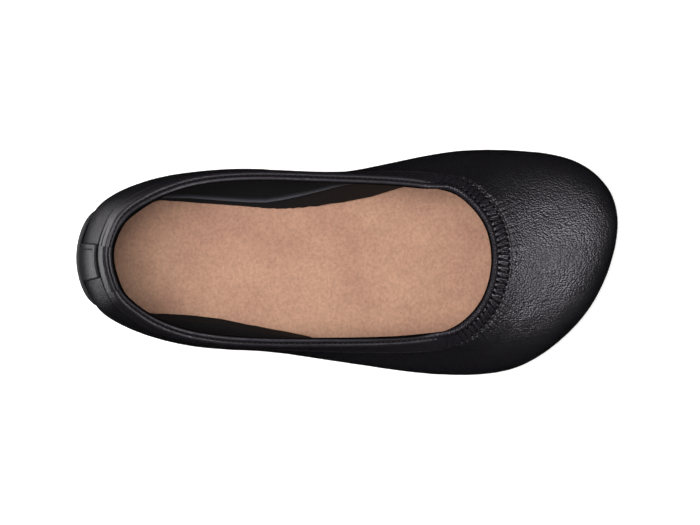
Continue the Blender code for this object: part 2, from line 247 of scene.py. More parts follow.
def cup_outside(place, steps):
    """Rings from the edge of the sole's ground side, round the corner and up to the rim."""
    rim, outward = rim_ring(place)
    height = rim[:, 2:] - spring(rim[:, 1:2])
    inset = CORNER_SHARE * height
    edge = rim - inset * outward
    edge[:, 2] = spring(edge[:, 1])
    low = edge + CORNER_ROUNDNESS * inset * outward
    high = rim - CORNER_ROUNDNESS * (rim - edge) * UP
    return arc(edge, low, high, rim, steps)


def cup_inside(place, steps):
    """Rings from the floor's edge up the inner face of the outsole's rim."""
    rim, outward = rim_ring(place)
    inner_rim = rim - RIM_WALL * outward
    edge = cup_outside(place, 1)[0] + SOLE_THICKNESS * UP
    inset = np.linalg.norm((inner_rim - edge)[:, :2], axis=1, keepdims=True)
    low = edge + CORNER_ROUNDNESS * inset * outward
    high = inner_rim - CORNER_ROUNDNESS * (inner_rim - edge) * UP
    return arc(edge, low, high, inner_rim, steps)


def lasting_rings(place):
    """The leather's outer face inside the cup, from its lower edge up to the rim."""
    _, outward = rim_ring(place)
    rings = cup_inside(place, CORNER_STEPS)
    run = np.gradient(rings, axis=0)
    level = (run * outward).sum(axis=-1, keepdims=True)
    rings = rings + CLEARANCE * unit(run[..., 2:] * -outward + level * UP)
    steps = np.linspace(LASTING_START, 1, CORNER_STEPS) * CORNER_STEPS
    first = np.minimum(steps.astype(int), CORNER_STEPS - 1)
    part = (steps - first)[:, None, None]
    return rings[first] * (1 - part) + rings[first + 1] * part


def wall_rings(place, leave_steps, wall_steps):
    """The leather's outer face: inside the cup, out over the bulge and in to the collar."""
    lower = lasting_rings(place)
    exit_ring = lower[-1]
    bulge = ring(
        smooth(COLUMNS.bulge_x, place) * BALL_WIDTH,
        smooth(COLUMNS.bulge_y, place) * LENGTH,
        SOLE_THICKNESS + smooth(COLUMNS.bulge_z, place) * COLLAR_HEIGHT,
    )
    top = ring(
        smooth(COLUMNS.top_x, place) * BALL_WIDTH,
        smooth(COLUMNS.top_y, place) * LENGTH,
        SOLE_THICKNESS + smooth(COLUMNS.top_z, place) * COLLAR_HEIGHT,
    )
    _, outward = rim_ring(place)
    leave = arc(
        exit_ring,
        exit_ring + LEAVE_SHARE * (bulge - exit_ring),
        bulge - BULGE_ROUNDNESS * (bulge - exit_ring) * UP,
        bulge,
        leave_steps,
    )
    reach = np.linalg.norm(top - bulge, axis=1, keepdims=True)
    inward = (top - bulge) * (1 - UP) - INWARD_SHARE * BALL_WIDTH * outward
    lean = np.radians(smooth(COLUMNS.lean, place))[:, None]
    arrival = unit(inward) * np.cos(lean) + UP * np.sin(lean)
    swell = smooth(COLUMNS.swell, place)[:, None]
    wall = arc(
        bulge, bulge + swell * reach * UP, top - ARRIVE_SHARE * reach * arrival, top, wall_steps
    )
    return np.concatenate([lower, leave[1:], wall[1:]])


def wall_and_outward(place, leave_steps=8, wall_steps=36):
    """The leather's outer face as rings, and the outward direction at each of their points."""
    rings = wall_rings(place, leave_steps, wall_steps)
    after = wall_rings(place + NUDGE, leave_steps, wall_steps)
    before = wall_rings(place - NUDGE, leave_steps, wall_steps)
    return rings, unit(np.cross(after - before, np.gradient(rings, axis=0)))


def from_collar(rings):
    """How far each point lies below the collar, measured along its section."""
    steps = np.linalg.norm(np.diff(rings, axis=0), axis=2)
    return np.concatenate([np.cumsum(steps[::-1], axis=0)[::-1], steps[:1] * 0])


def at_distance(rings, distances):
    """Rings read at distances down from the collar, the same all round or one list a rib."""
    down = from_collar(rings)
    columns = np.atleast_2d(np.asarray(distances).T).T
    distances = np.broadcast_to(columns, (len(distances), rings.shape[1]))
    found = np.empty((len(distances), rings.shape[1], 3))
    for rib in range(rings.shape[1]):
        for axis in range(3):
            found[:, rib, axis] = np.interp(
                distances[:, rib], down[::-1, rib], rings[::-1, rib, axis]
            )
    return found


def at_height(rings, heights):
    """The ring where each rib of the rings passes its own height."""
    return np.array(
        [
            [np.interp(z, rings[:, rib, 2], rings[:, rib, axis]) for axis in range(2)] + [z]
            for rib, z in enumerate(heights)
        ]
    )


def places(ribs_per_row):
    """Evenly spaced places once round, counted in sections."""
    return np.arange(ROUND * ribs_per_row) / ribs_per_row


# Where the source's shoe lies in the frame: it was moved so that its box is centred
SOURCE_RIM, _ = rim_ring(places(SOURCE_RIBS_PER_ROW))
SHIFT = np.array(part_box("outsole")[0]) - np.array([*SOURCE_RIM.min(axis=0)[:2], 0])

# Distance along the collar's edge from the back of the heel, at fine steps of place
COLLAR_PLACES = np.linspace(0, ROUND, 2401)
COLLAR_EDGE = wall_rings(COLLAR_PLACES, 1, 1)[-1]
COLLAR_STEPS = np.linalg.norm(np.diff(COLLAR_EDGE, axis=0), axis=1)
COLLAR_RUN = np.concatenate([[0], np.cumsum(COLLAR_STEPS)])

# The collar is gathered round the throat and a little elsewhere
THROAT_FADE = (3.1, 4.6)  # sections from the toe's middle: the throat ends between these
SIDE_GATHERS = 0.18  # of the throat's, along the sides and the heel
EXTRA_RIBS = 1.6  # for each rib of the mesh, where the collar is fully gathered


def collar_run(place):
    """Distance along the collar at places from 0 to once round."""
    return np.interp(place, COLLAR_PLACES, COLLAR_RUN)


def stitch_count(sizes):
    """How many stitches go once round the collar."""
    return round(COLLAR_RUN[-1] / sizes.stitch)


def step_down(value, start, end):
    """1 below start, 0 above end, smooth between."""
    part = np.clip((value - start) / (end - start), 0, 1)
    return 1 - part * part * (3 - 2 * part)


def bump_at(value, centre, width):
    """A soft ridge of height 1."""
    return np.exp(-(((value - centre) / width) ** 2))


def waves(points, length, count, seed):
    """Soft unevenness between about -1 and 1, from sines of one length in seeded directions."""
    draw = np.random.default_rng(seed)
    directions = unit(draw.normal(size=(count, 3)))
    lengths = length * draw.uniform(0.7, 1.4, count)
    phases = draw.uniform(0, 2 * math.pi, count)
    total = np.zeros(points.shape[:-1])
    for direction, own, phase in zip(directions, lengths, phases):
        total += np.sin(points @ direction * 2 * math.pi / own + phase)
    return total / math.sqrt(count)


def at_throat(place):
    """1 round the throat, 0 along the sides and the heel."""
    return step_down(np.abs(place - TOE_PLACE), *THROAT_FADE)


def gather_places(count):
    """Places once round, closer together where the collar is gathered."""
    gathered = SIDE_GATHERS + (1 - SIDE_GATHERS) * at_throat(COLLAR_PLACES)
    weight = 1 + EXTRA_RIBS * gathered
    grown = np.concatenate([[0], np.cumsum((weight[1:] + weight[:-1]) / 2 * COLLAR_STEPS)])
    return np.interp(np.arange(count) / count * grown[-1], grown, COLLAR_PLACES)


def lining_face(place, leave_steps, wall_steps):
    """The lining's face towards the foot, without the raised fold.

    Returns its rings, and for each rib the height of the fold and the fold's share. The padding
    fades out round the heel and the toe.
    """
    face, outward = wall_and_outward(place, leave_steps, wall_steps)
    face = face - LEATHER_WALL * outward
    _, level = rim_ring(place)
    ribs = range(len(place))
    floor = INSOLE_TOP + 0.2 * MM
    y = np.array([np.interp(floor, face[:, rib, 2], face[:, rib, 1]) for rib in ribs])
    little_toe_side = face[:, :, 0].mean(axis=0) > 0
    rows = []
    for name in LiningRow._fields[1:]:
        sides = [np.interp(y / MM, column.y, getattr(column, name)) for column in LINING_COLUMNS]
        rows.append(np.where(little_toe_side, sides[1], sides[0]))
    foot, crest, height, ridge = rows
    height = height * MM
    end = np.where(little_toe_side, LINING_COLUMNS[1].y[-1], LINING_COLUMNS[0].y[-1]) * MM
    share = (1 - step_down(y, *PADDING_START)) * step_down(y, end - PADDING_FADE, end)

    z = face[..., 2]
    climb = np.clip((z - floor) / (height - floor), 0, 1)
    wanted = (foot + (crest - foot) * climb) * MM
    reach = (np.abs(face[..., 0]) - wanted) / np.clip(np.abs(level[:, 0]), LEAST_SIDEWAYS, 1)
    at_crest = np.array([np.interp(height[rib], z[:, rib], reach[:, rib]) for rib in ribs])
    back = np.minimum(PADDING_BACK, PADDING_TOP - height)
    reach = np.where(z > height, at_crest * step_down(z, height, height + back), reach)
    reach = np.clip(reach, 0, None) * share
    above_insole = 1 - step_down(z, floor - 0.4 * MM, floor + 0.3 * MM)
    return face - (reach * above_insole)[..., None] * level, height, ridge * share


def lining_foot(place):
    """The ring where the lining's face meets the insole's upper side."""
    face, _, _ = lining_face(place, 16, 12)
    return at_height(face, INSOLE_TOP + 0.5 * MM + spring(face[0, :, 1]))


def linear(hex_code):
    """An sRGB hex value as linear red, green and blue."""
    parts = [int(hex_code[start : start + 2], 16) / 255 for start in (0, 2, 4)]
    return tuple(p / 12.92 if p <= 0.04045 else ((p + 0.055) / 1.055) ** 2.4 for p in parts)


def connect(tree, node, inputs):
    """Gives each named socket of a node its value or its link."""
    for socket, value in inputs.items():
        if isinstance(value, bpy.types.NodeSocket):
            tree.links.new(value, node.inputs[socket])
        else:
            node.inputs[socket].default_value = value


def add(tree, kind, inputs=None, stops=(), **settings):
    """Adds a node: inputs are values or links, stops a ramp's colours, settings its own."""
    made = tree.nodes.new(kind)
    for name, value in settings.items():
        setattr(made, name, value)
    for index, (position, colour) in enumerate(stops):
        made.color_ramp.elements[index].position = position
        made.color_ramp.elements[index].color = (*colour, 1)
    connect(tree, made, inputs or {})
    return made


def new_material(name):
    """A material with only its output and principled shader."""
    material = bpy.data.materials.new(name)
    material.use_nodes = True
    return material, material.node_tree, material.node_tree.nodes["Principled BSDF"]


def leather_material(name, base, roughness, grain, depth):
    """Black chrome-tanned nappa leather with a thin matt finish.

    Pebbles of about a millimetre, broken by finer pores, give many small soft highlights. In
    needle holes, seams and on sides turned away from the light it carries painted shade: black,
    rough and without gloss where its shade attribute rises to 1.
    """
    wear_patch = 14.3 * MM
    material, tree, shader = new_material(name)
    place = add(tree, "ShaderNodeTexCoord").outputs["Object"]
    stretched = add(tree, "ShaderNodeMapping", {"Vector": place, "Scale": (1.0, 0.7, 1.0)})
    drift = add(tree, "ShaderNodeTexNoise", {"Vector": place, "Scale": 0.5 / grain, "Detail": 1.0})
    moved = add(
        tree,
        "ShaderNodeMixRGB",
        {
            "Fac": grain * 0.3,
            "Color1": stretched.outputs["Vector"],
            "Color2": drift.outputs["Color"],
        },
        blend_type="ADD",
    )
    pebbles = add(
        tree,
        "ShaderNodeTexVoronoi",
        {"Vector": moved.outputs["Color"], "Scale": 1 / grain, "Randomness": 0.9},
        feature="F1",
    )
    pores = add(tree, "ShaderNodeTexNoise", {"Vector": place, "Scale": 2.2 / grain, "Detail": 3.0})
    patches = add(
        tree, "ShaderNodeTexNoise", {"Vector": place, "Scale": 1 / wear_patch, "Detail": 2.0}
    )
    uneven = add(
        tree,
        "ShaderNodeMapRange",
        {
            "Value": patches.outputs["Fac"],
            "From Min": 0.3,
            "From Max": 0.7,
            "To Min": roughness - 0.04,
            "To Max": roughness + 0.05,
        },
    )
    painted_shade = add(tree, "ShaderNodeAttribute", attribute_name="painted_shade").outputs["Fac"]
    rough = add(
        tree, "ShaderNodeMath", {0: painted_shade, 1: uneven.outputs["Result"]}, operation="MAXIMUM"
    )
    # Painted shade: where the shade attribute rises, colour and gloss turn black and it is rough
    colour = add(
        tree, "ShaderNodeValToRGB", {"Fac": painted_shade}, stops=((0, tuple(base)), (1, (0, 0, 0)))
    )
    shine = add(
        tree,
        "ShaderNodeValToRGB",
        {"Fac": painted_shade},
        stops=((0, (0.96, 0.91, 1.0)), (1, (0.12, 0.11, 0.12))),
    )
    pebbled = add(
        tree,
        "ShaderNodeBump",
        {"Height": pebbles.outputs["Distance"], "Distance": depth, "Strength": 1.0},
        invert=True,
    )
    pored = add(
        tree,
        "ShaderNodeBump",
        {
            "Height": pores.outputs["Fac"],
            "Distance": depth * 0.2,
            "Strength": 1.0,
            "Normal": pebbled.outputs["Normal"],
        },
    )
    finish = {
        "Base Color": colour.outputs["Color"],
        "Specular Tint": shine.outputs["Color"],
        "Roughness": rough.outputs["Value"],
        "Normal": pored.outputs["Normal"],
        "IOR": 1.48,
    }
    connect(tree, shader, finish)
    return material


def rubber_material(colours):
    """Moulded black rubber: dull, faintly streaked where the mould's parts met."""
    speck, streak = 1.11 * MM, 6.25 * MM
    material, tree, shader = new_material("moulded black rubber")
    place = add(tree, "ShaderNodeTexCoord").outputs["Object"]
    specks = add(tree, "ShaderNodeTexNoise", {"Vector": place, "Scale": 1 / speck, "Detail": 4.0})
    streaks = add(tree, "ShaderNodeTexNoise", {"Vector": place, "Scale": 1 / streak, "Detail": 3.0})
    colour = add(
        tree,
        "ShaderNodeValToRGB",
        {"Fac": streaks.outputs["Fac"]},
        stops=((0.45, tuple(colours.rubber)), (0.75, linear("2B2A2C"))),
    )
    rough = add(
        tree,
        "ShaderNodeMapRange",
        {
            "Value": streaks.outputs["Fac"],
            "From Min": 0.35,
            "From Max": 0.65,
            "To Min": 0.48,
            "To Max": 0.66,
        },
    )
    bumped = add(
        tree,
        "ShaderNodeBump",
        {"Height": specks.outputs["Fac"], "Distance": 0.06 * MM, "Strength": 1.0},
    )
    finish = {
        "Base Color": colour.outputs["Color"],
        "Roughness": rough.outputs["Result"],
        "Normal": bumped.outputs["Normal"],
        "IOR": 1.52,
    }
    connect(tree, shader, finish)
    return material


def tread_material(colours):
    """The same rubber on the ground side: rib tops painted light grey, pits left black."""
    blotch = 3.85 * MM
    material, tree, shader = new_material("tread rubber with painted rib light")
    place = add(tree, "ShaderNodeTexCoord").outputs["Object"]
    height = add(tree, "ShaderNodeAttribute", attribute_name="rib_height").outputs["Fac"]
    painted_rib_light = add(tree, "ShaderNodeTexNoise", {"Vector": place, "Scale": 1 / blotch, "Detail": 5.0})
    # Painted light: the ribs' tops lighter grey in blotches, the pits the rubber's own black
    lighter = add(
        tree,
        "ShaderNodeValToRGB",
        {"Fac": painted_rib_light.outputs["Fac"]},
        stops=((0.35, linear("4B484A")), (0.65, tuple(colours.painted_rib_light))),
    )
    mixed = add(
        tree,
        "ShaderNodeMixRGB",
        {
            "Fac": height,
            "Color1": (*tuple(colours.rubber), 1),
            "Color2": lighter.outputs["Color"],
        },
    )
    bumped = add(
        tree,
        "ShaderNodeBump",
        {"Height": painted_rib_light.outputs["Fac"], "Distance": 0.05 * MM, "Strength": 1.0},
    )
    finish = {
        "Base Color": mixed.outputs["Color"],
        "Roughness": 0.7,
        "Normal": bumped.outputs["Normal"],
        "IOR": 1.52,
    }
    connect(tree, shader, finish)
    return material


def lining_material(colours):
    """Black polyester knit: dark, with fine rows of loops.

    It is stretched smooth over the fold, where the attribute "crest" makes it smoother and
    paints it a lighter bluish grey: a painted highlight.
    """
    rows_round, courses_through = 1111, 1429  # of loops, over the UV map of the whole sheet
    band = 0.314  # a wave texture of scale 1 draws a band every 0.314
    material, tree, shader = new_material("black knitted lining")
    cloth = add(tree, "ShaderNodeUVMap", uv_map="UVMap").outputs["UV"]
    rows = add(
        tree,
        "ShaderNodeTexWave",
        {
            "Vector": cloth,
            "Scale": band * rows_round,
            "Distortion": 1.5,
            "Detail Scale": 800.0,
        },
        bands_direction="X",
    )
    courses = add(
        tree,
        "ShaderNodeTexWave",
        {
            "Vector": cloth,
            "Scale": band * courses_through,
            "Distortion": 1.0,
            "Detail Scale": 800.0,
        },
        bands_direction="Y",
    )
    both = add(
        tree,
        "ShaderNodeMath",
        {0: rows.outputs["Fac"], 1: courses.outputs["Fac"]},
        operation="MULTIPLY",
    )
    bumped = add(
        tree,
        "ShaderNodeBump",
        {"Height": both.outputs["Value"], "Distance": 0.15 * MM, "Strength": 0.8},
    )
    crest = add(tree, "ShaderNodeAttribute", attribute_name="crest").outputs["Fac"]
    # Painted highlight: the fold's crest turns a lighter bluish grey
    colour = add(
        tree,
        "ShaderNodeValToRGB",
        {"Fac": crest},
        stops=((0, tuple(colours.lining)), (1, linear("414249"))),
    )
    rough = add(tree, "ShaderNodeMapRange", {"Value": crest, "To Min": 0.9, "To Max": 0.5})
    finish = {
        "Base Color": colour.outputs["Color"],
        "Roughness": rough.outputs["Result"],
        "Normal": bumped.outputs["Normal"],
        "Specular IOR Level": 0.25,
    }
    connect(tree, shader, finish)
    return material


def suede_material(colours):
    """Tan microfibre suede: short nap, brushed in patches, painted shade along the lining's edge.

    Real nap is finer than a pixel, so its tufts are drawn about four times as coarse.
    """
    brushed_patch, tuft = 26.3 * MM, 1.39 * MM
    material, tree, shader = new_material("tan suede")
    place = add(tree, "ShaderNodeTexCoord").outputs["Object"]
    edge = add(tree, "ShaderNodeAttribute", attribute_name="edge_shade").outputs["Fac"]
    brushed = add(
        tree,
        "ShaderNodeTexNoise",
        {"Vector": place, "Scale": 1 / brushed_patch, "Detail": 6.0, "Roughness": 0.62},
    )
    nap = add(
        tree,
        "ShaderNodeTexNoise",
        {"Vector": place, "Scale": 1 / tuft, "Detail": 3.0, "Roughness": 0.6},
    )
    broad = add(
        tree,
        "ShaderNodeValToRGB",
        {"Fac": brushed.outputs["Fac"]},
        stops=((0.36, tuple(colours.suede_dark)), (0.62, tuple(colours.suede))),
    )
    tufts = add(
        tree,
        "ShaderNodeValToRGB",
        {"Fac": nap.outputs["Fac"]},
        stops=((0.3, (0.25, 0.25, 0.25)), (0.7, (1, 1, 1))),
    )
    speckled = add(
        tree,
        "ShaderNodeMixRGB",
        {"Fac": 0.36, "Color1": broad.outputs["Color"], "Color2": tufts.outputs["Color"]},
        blend_type="MULTIPLY",
    )
    # Painted shade where the lining meets the suede, and under it
    shaded = add(
        tree,
        "ShaderNodeMixRGB",
        {
            "Fac": edge,
            "Color1": speckled.outputs["Color"],
            "Color2": (*linear("2A1B14"), 1),
        },
    )
    bumped = add(
        tree,
        "ShaderNodeBump",
        {"Height": nap.outputs["Fac"], "Distance": 0.25 * MM, "Strength": 0.9},
    )
    finish = {
        "Base Color": shaded.outputs["Color"],
        "Roughness": 0.95,
        "Normal": bumped.outputs["Normal"],
        "Specular IOR Level": 0.2,
        "Sheen Weight": 0.25,
        "Sheen Roughness": 0.5,
    }
    connect(tree, shader, finish)
    return material


def thread_material(colours):
    """Black bonded polyester thread: slightly glossy, twisted."""
    strand = 0.4 * MM
    material, tree, shader = new_material("black polyester thread")
    place = add(tree, "ShaderNodeTexCoord").outputs["Object"]
    twist = add(tree, "ShaderNodeTexNoise", {"Vector": place, "Scale": 1 / strand, "Detail": 1.0})
    bumped = add(
        tree,
        "ShaderNodeBump",
        {"Height": twist.outputs["Fac"], "Distance": 0.05 * MM, "Strength": 1.0},
    )
    finish = {
        "Base Color": (*tuple(colours.thread), 1),
        "Roughness": 0.6,
        "Normal": bumped.outputs["Normal"],
    }
    connect(tree, shader, finish)
    return material


def acrylic_material(colours):
    """Backlit white acrylic sheet, as under a product on a light table: it swallows shadows."""
    cloud = 200 * MM
    material, tree, shader = new_material("backlit white acrylic")
    place = add(tree, "ShaderNodeTexCoord").outputs["Object"]
    clouds = add(tree, "ShaderNodeTexNoise", {"Vector": place, "Scale": 1 / cloud, "Detail": 2.0})
    colour = add(
        tree,
        "ShaderNodeValToRGB",
        {"Fac": clouds.outputs["Fac"]},
        stops=((0, tuple(colours.floor)), (1, linear("F2F1EF"))),
    )
    finish = {
        "Base Color": colour.outputs["Color"],
        "Emission Color": (1.0, 1.0, 1.0, 1),
        "Emission Strength": 0.45,
        "Roughness": 1.0,
        "Specular IOR Level": 0.0,
    }
    connect(tree, shader, finish)
    return material


def settle(piece, name, material, replaced, sharp=None):
    """Names a finished piece, gives it its finish and ties it to the frame."""
    piece.name = name
    piece.data.name = name
    piece.data.materials.clear()
    piece.data.materials.append(material)
    bpy.ops.object.shade_smooth()
    if sharp:
        bpy.ops.object.shade_smooth_by_angle(angle=math.radians(sharp))
    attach(piece, "root")
    if replaced:
        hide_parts(replaced)
    piece.select_set(False)
    return piece


def place_vertices(piece, points):
    """Moves the piece's vertices to the points, given in the source's place for the shoe."""
    if len(points) != len(piece.data.vertices):
        raise ValueError(f"{len(points)} points for {len(piece.data.vertices)} corners")
    piece.data.vertices.foreach_set("co", (points + SHIFT).astype(np.float32).ravel())
    piece.data.update()


def tidy_mesh(merge):
    """Merges what meets in the active piece and turns its faces outwards."""
    bpy.ops.object.mode_set(mode="EDIT")
    bpy.ops.mesh.select_all(action="SELECT")
    if merge:
        bpy.ops.mesh.remove_doubles(threshold=0.001 * MM)
    bpy.ops.mesh.normals_make_consistent(inside=False)
    bpy.ops.mesh.select_all(action="DESELECT")
    bpy.ops.object.mode_set(mode="OBJECT")


def sheet_of(rows, merge=True):
    """A grid laid out on rows of points; rows or ends that meet are merged."""
    bpy.ops.object.select_all(action="DESELECT")
    bpy.ops.mesh.primitive_grid_add(
        x_subdivisions=rows.shape[1] - 1, y_subdivisions=rows.shape[0] - 1, size=0.1
    )
    piece = bpy.context.object
    place_vertices(piece, rows.reshape(-1, 3))
    tidy_mesh(merge)
    return piece


def closed_round(rings):
    """Rings with their first point repeated at the end, so that a sheet of them closes."""
    return np.concatenate([rings, rings[:, :1]], axis=1)


def closed_band(rings, attributes=None):
    """A sheet rolled up both ways: round the shoe and round its own section."""
    piece = sheet_of(closed_round(np.concatenate([rings, rings[:1]])), merge=False)
    for name, values in (attributes or {}).items():
        whole = np.concatenate([values, values[:1]])
        point_attribute(piece, name, np.concatenate([whole, whole[:, :1]], axis=1))
    tidy_mesh(True)
    return piece


def point_attribute(piece, name, values):
    layer = piece.data.attributes.new(name, "FLOAT", "POINT")
    layer.data.foreach_set("value", np.asarray(values, np.float32).ravel())


def ring_normals(rings):
    """Directions square to a surface of closed rings."""
    around = np.roll(rings, -1, axis=1) - np.roll(rings, 1, axis=1)
    return unit(np.cross(around, np.gradient(rings, axis=0)))


def turned_to(normals, towards, index=0):
    """The same directions, or their opposites if those of one ring point away from towards."""
    away = (normals[index] * towards).sum(axis=-1).mean() < 0
    return -normals if away else normals


def read_grid(rings, row, column):
    """Points between the rings' points, at fractional rows and columns."""
    row = np.clip(row, 0, len(rings) - 1.001)
    low, left = np.floor(row).astype(int), np.floor(column).astype(int)
    up, right = (row - low)[..., None], (column - left)[..., None]
    count = rings.shape[1]
    left, beside = left % count, (left + 1) % count
    return (
        rings[low, left] * (1 - up) * (1 - right)
        + rings[low, beside] * (1 - up) * right
        + rings[low + 1, left] * up * (1 - right)
        + rings[low + 1, beside] * up * right
    )


def read_ring(values, column):
    """Values between those of one closed ring, at fractional columns."""
    return read_grid(np.stack([values, values]), np.zeros(len(column)), column)


def plate_rings(edge, height, count):
    """Rings that fill a plate from its edge towards its middle, at height above the spring."""
    middle = np.array([0.0, LENGTH / 2, 0.0])
    rings = []
    for share in np.linspace(1, 0, count + 2)[1:]:
        filled = middle + (edge - middle) * share
        filled[:, 2] = spring(filled[:, 1]) + height
        rings.append(filled)
    return np.array(rings)


def rounded_corner(place, steps):
    """The sole's rounded corner: its rings, how far up it each lies, and the way outwards."""
    corner = cup_outside(place, steps)
    lengths = np.linalg.norm(np.diff(corner, axis=0), axis=2)
    run = np.concatenate([lengths[:1] * 0, np.cumsum(lengths, axis=0)])
    return corner, run, turned_to(ring_normals(corner), -UP)


def tread_wrap(place):
    """How far the tread runs up the rounded corner, as a share of the corner's length.

    Along the sides it stops at the corner's start. It climbs most round the toe.
    """
    toe = step_down(np.abs(place - (TOE_PLACE + 0.4)), 1.6, 4.2)
    heel = step_down(np.minimum(place, ROUND - place), 0.8, 2.6)
    return 0.02 + 0.90 * toe + 0.66 * heel


class ShoeSizes(bpy.types.PropertyGroup):
    """Sizes of the details that the solids leave out."""

    rib_pitch: bpy.props.FloatProperty(
        name="Tread rib pitch",
        description="From one rib of the tread to the next",
        default=2.42 * MM,
        subtype="DISTANCE",
        unit="LENGTH",
    )
    rib_width: bpy.props.FloatProperty(
        name="Tread rib width",
        description="Across the top of one rib of the tread",
        default=0.85 * MM,
        subtype="DISTANCE",
        unit="LENGTH",
    )
    pit_depth: bpy.props.FloatProperty(
        name="Tread depth",
        description="From the top of the ribs to the floor of the pits",
        default=0.9 * MM,
        subtype="DISTANCE",
        unit="LENGTH",
    )
    wave_length: bpy.props.FloatProperty(
        name="Tread wave length",
        description="From one wave of the ribs to the next",
        default=21.0 * MM,
        subtype="DISTANCE",
        unit="LENGTH",
    )
    wave_height: bpy.props.FloatProperty(
        name="Tread wave height",
        description="How far a rib swings to either side",
        default=2.5 * MM,
        subtype="DISTANCE",
        unit="LENGTH",
    )
    knurl_pitch: bpy.props.FloatProperty(
        name="Knurl pitch",
        description="From one point of the sole's side pattern to the next",
        default=1.7 * MM,
        subtype="DISTANCE",
        unit="LENGTH",
    )
    stitch: bpy.props.FloatProperty(
        name="Stitch length",
        description="From one needle hole of the collar to the next",
        default=2.5 * MM,
        subtype="DISTANCE",
        unit="LENGTH",
    )
    pleat_depth: bpy.props.FloatProperty(
        name="Pleat depth",
        description="Height of the gathers between the collar's two rows of stitches",
        default=0.34 * MM,
        subtype="DISTANCE",
        unit="LENGTH",
    )
    grain: bpy.props.FloatProperty(
        name="Leather grain",
        description="Size of the leather's pebbles",
        default=0.8 * MM,
        subtype="DISTANCE",
        unit="LENGTH",
    )


class ShoeColours(bpy.types.PropertyGroup):
    """Colours of the shoe's materials."""

    leather: bpy.props.FloatVectorProperty(
        name="Leather", description="Upper", default=linear("0E0D10"), subtype="COLOR"
    )
    binding: bpy.props.FloatVectorProperty(
        name="Binding", description="Collar's hem", default=linear("151317"), subtype="COLOR"
    )
    strip: bpy.props.FloatVectorProperty(
        name="Strip", description="Heel strip and loop", default=linear("161518"), subtype="COLOR"
    )
    thread: bpy.props.FloatVectorProperty(
        name="Thread", description="Collar's stitches", default=linear("0C0B0D"), subtype="COLOR"
    )
    rubber: bpy.props.FloatVectorProperty(
        name="Rubber", description="Outsole", default=linear("19181A"), subtype="COLOR"
    )
    # Painted light on the tops of the tread's ribs
    painted_rib_light: bpy.props.FloatVectorProperty(
        name="Painted rib light", description="Tops of the ribs, painted lighter", default=linear("8A8486"), subtype="COLOR"
    )
    lining: bpy.props.FloatVectorProperty(
        name="Lining", description="Knitted lining", default=linear("0A090B"), subtype="COLOR"
    )
    suede: bpy.props.FloatVectorProperty(
        name="Suede", description="Insole", default=linear("A47F69"), subtype="COLOR"
    )
    suede_dark: bpy.props.FloatVectorProperty(
        name="Brushed suede",
        description="Insole, where the nap is brushed dark",
        default=linear("997361"),
        subtype="COLOR",
    )
    floor: bpy.props.FloatVectorProperty(
        name="Floor", description="Stage", default=linear("ECEBE9"), subtype="COLOR"
    )


class BuildCup(bpy.types.Operator):
    """Outsole's cup: knurled side, thin rim and the floor inside it"""

    bl_idname = "ballet_flat.cup"
    bl_label = "Outsole cup"

    knurl_depth = 0.42 * MM
    knurl_fades = (0.10, 0.16)  # of the side's height, at its lower edge and at the rim
    lip_height = 0.35 * MM  # of the rim's rounded top
    step_depth = 0.15 * MM  # how far the cup lies below the floor of the tread's pits

    def execute(self, context):
        sizes = context.scene.shoe_sizes
        place = places(60)
        corner, run, outward = rounded_corner(place, 64)
        total = run[-1]
        wrap = tread_wrap(place) * total
        shares = np.linspace(0, 1, 23)
        column = np.arange(len(place))
        rings, normals = [], []
        for share in shares:
            row = self.rows_at(run, wrap + (total - wrap) * share)
            rings.append(read_grid(corner, row, column))
            normals.append(unit(read_grid(outward, row, column)))
        rings, normals = np.array(rings), np.array(normals)
        sunk = self.knurl(place, shares, total - wrap, sizes.knurl_pitch)
        side = rings - sunk[..., None] * normals
        pit_level = sizes.pit_depth + self.step_depth
        step_inner = rings[0] - pit_level * normals[0]
        plate = plate_rings(step_inner, pit_level, 4)[::-1]
        inner = cup_inside(place, 6)[::-1]
        middle, half = (side[-1] + inner[0]) / 2, (side[-1] - inner[0]) / 2
        lip = [
            middle + half * math.cos(angle) + self.lip_height * math.sin(angle) * UP
            for angle in np.linspace(0, math.pi, 6)[1:-1]
        ]
        floor = plate_rings(inner[-1], SOLE_THICKNESS, 4)
        rows = np.concatenate([plate, [step_inner], side, lip, inner, floor])
        piece = sheet_of(closed_round(rows))
        finish = rubber_material(context.scene.shoe_colours)
        settle(piece, "outsole_cup", finish, "outsole", sharp=50)
        return {"FINISHED"}

    def rows_at(self, run, wanted):
        """Fractional rows of the corner where its run reaches the wanted length."""
        steps = np.arange(len(run))
        return np.array([np.interp(wanted[i], run[:, i], steps) for i in range(run.shape[1])])

    def knurl(self, place, shares, height, pitch):
        """How deep the diamond pattern of the side is sunk, for each share of its height."""
        rim, _ = rim_ring(place)
        around = np.linalg.norm(np.roll(rim, -1, axis=0) - rim, axis=1)
        around = np.concatenate([[0], np.cumsum(around)])
        turn = around[:-1] / around[-1] * round(around[-1] / pitch)
        up = height * shares[:, None] / pitch
        pattern = np.sin(math.pi * (turn + up)) ** 2 * np.sin(math.pi * (turn - up)) ** 2
        low, high = self.knurl_fades
        fade = np.minimum(shares / low, (1 - shares) / high).clip(0, 1)[:, None]
        return self.knurl_depth * pattern * fade


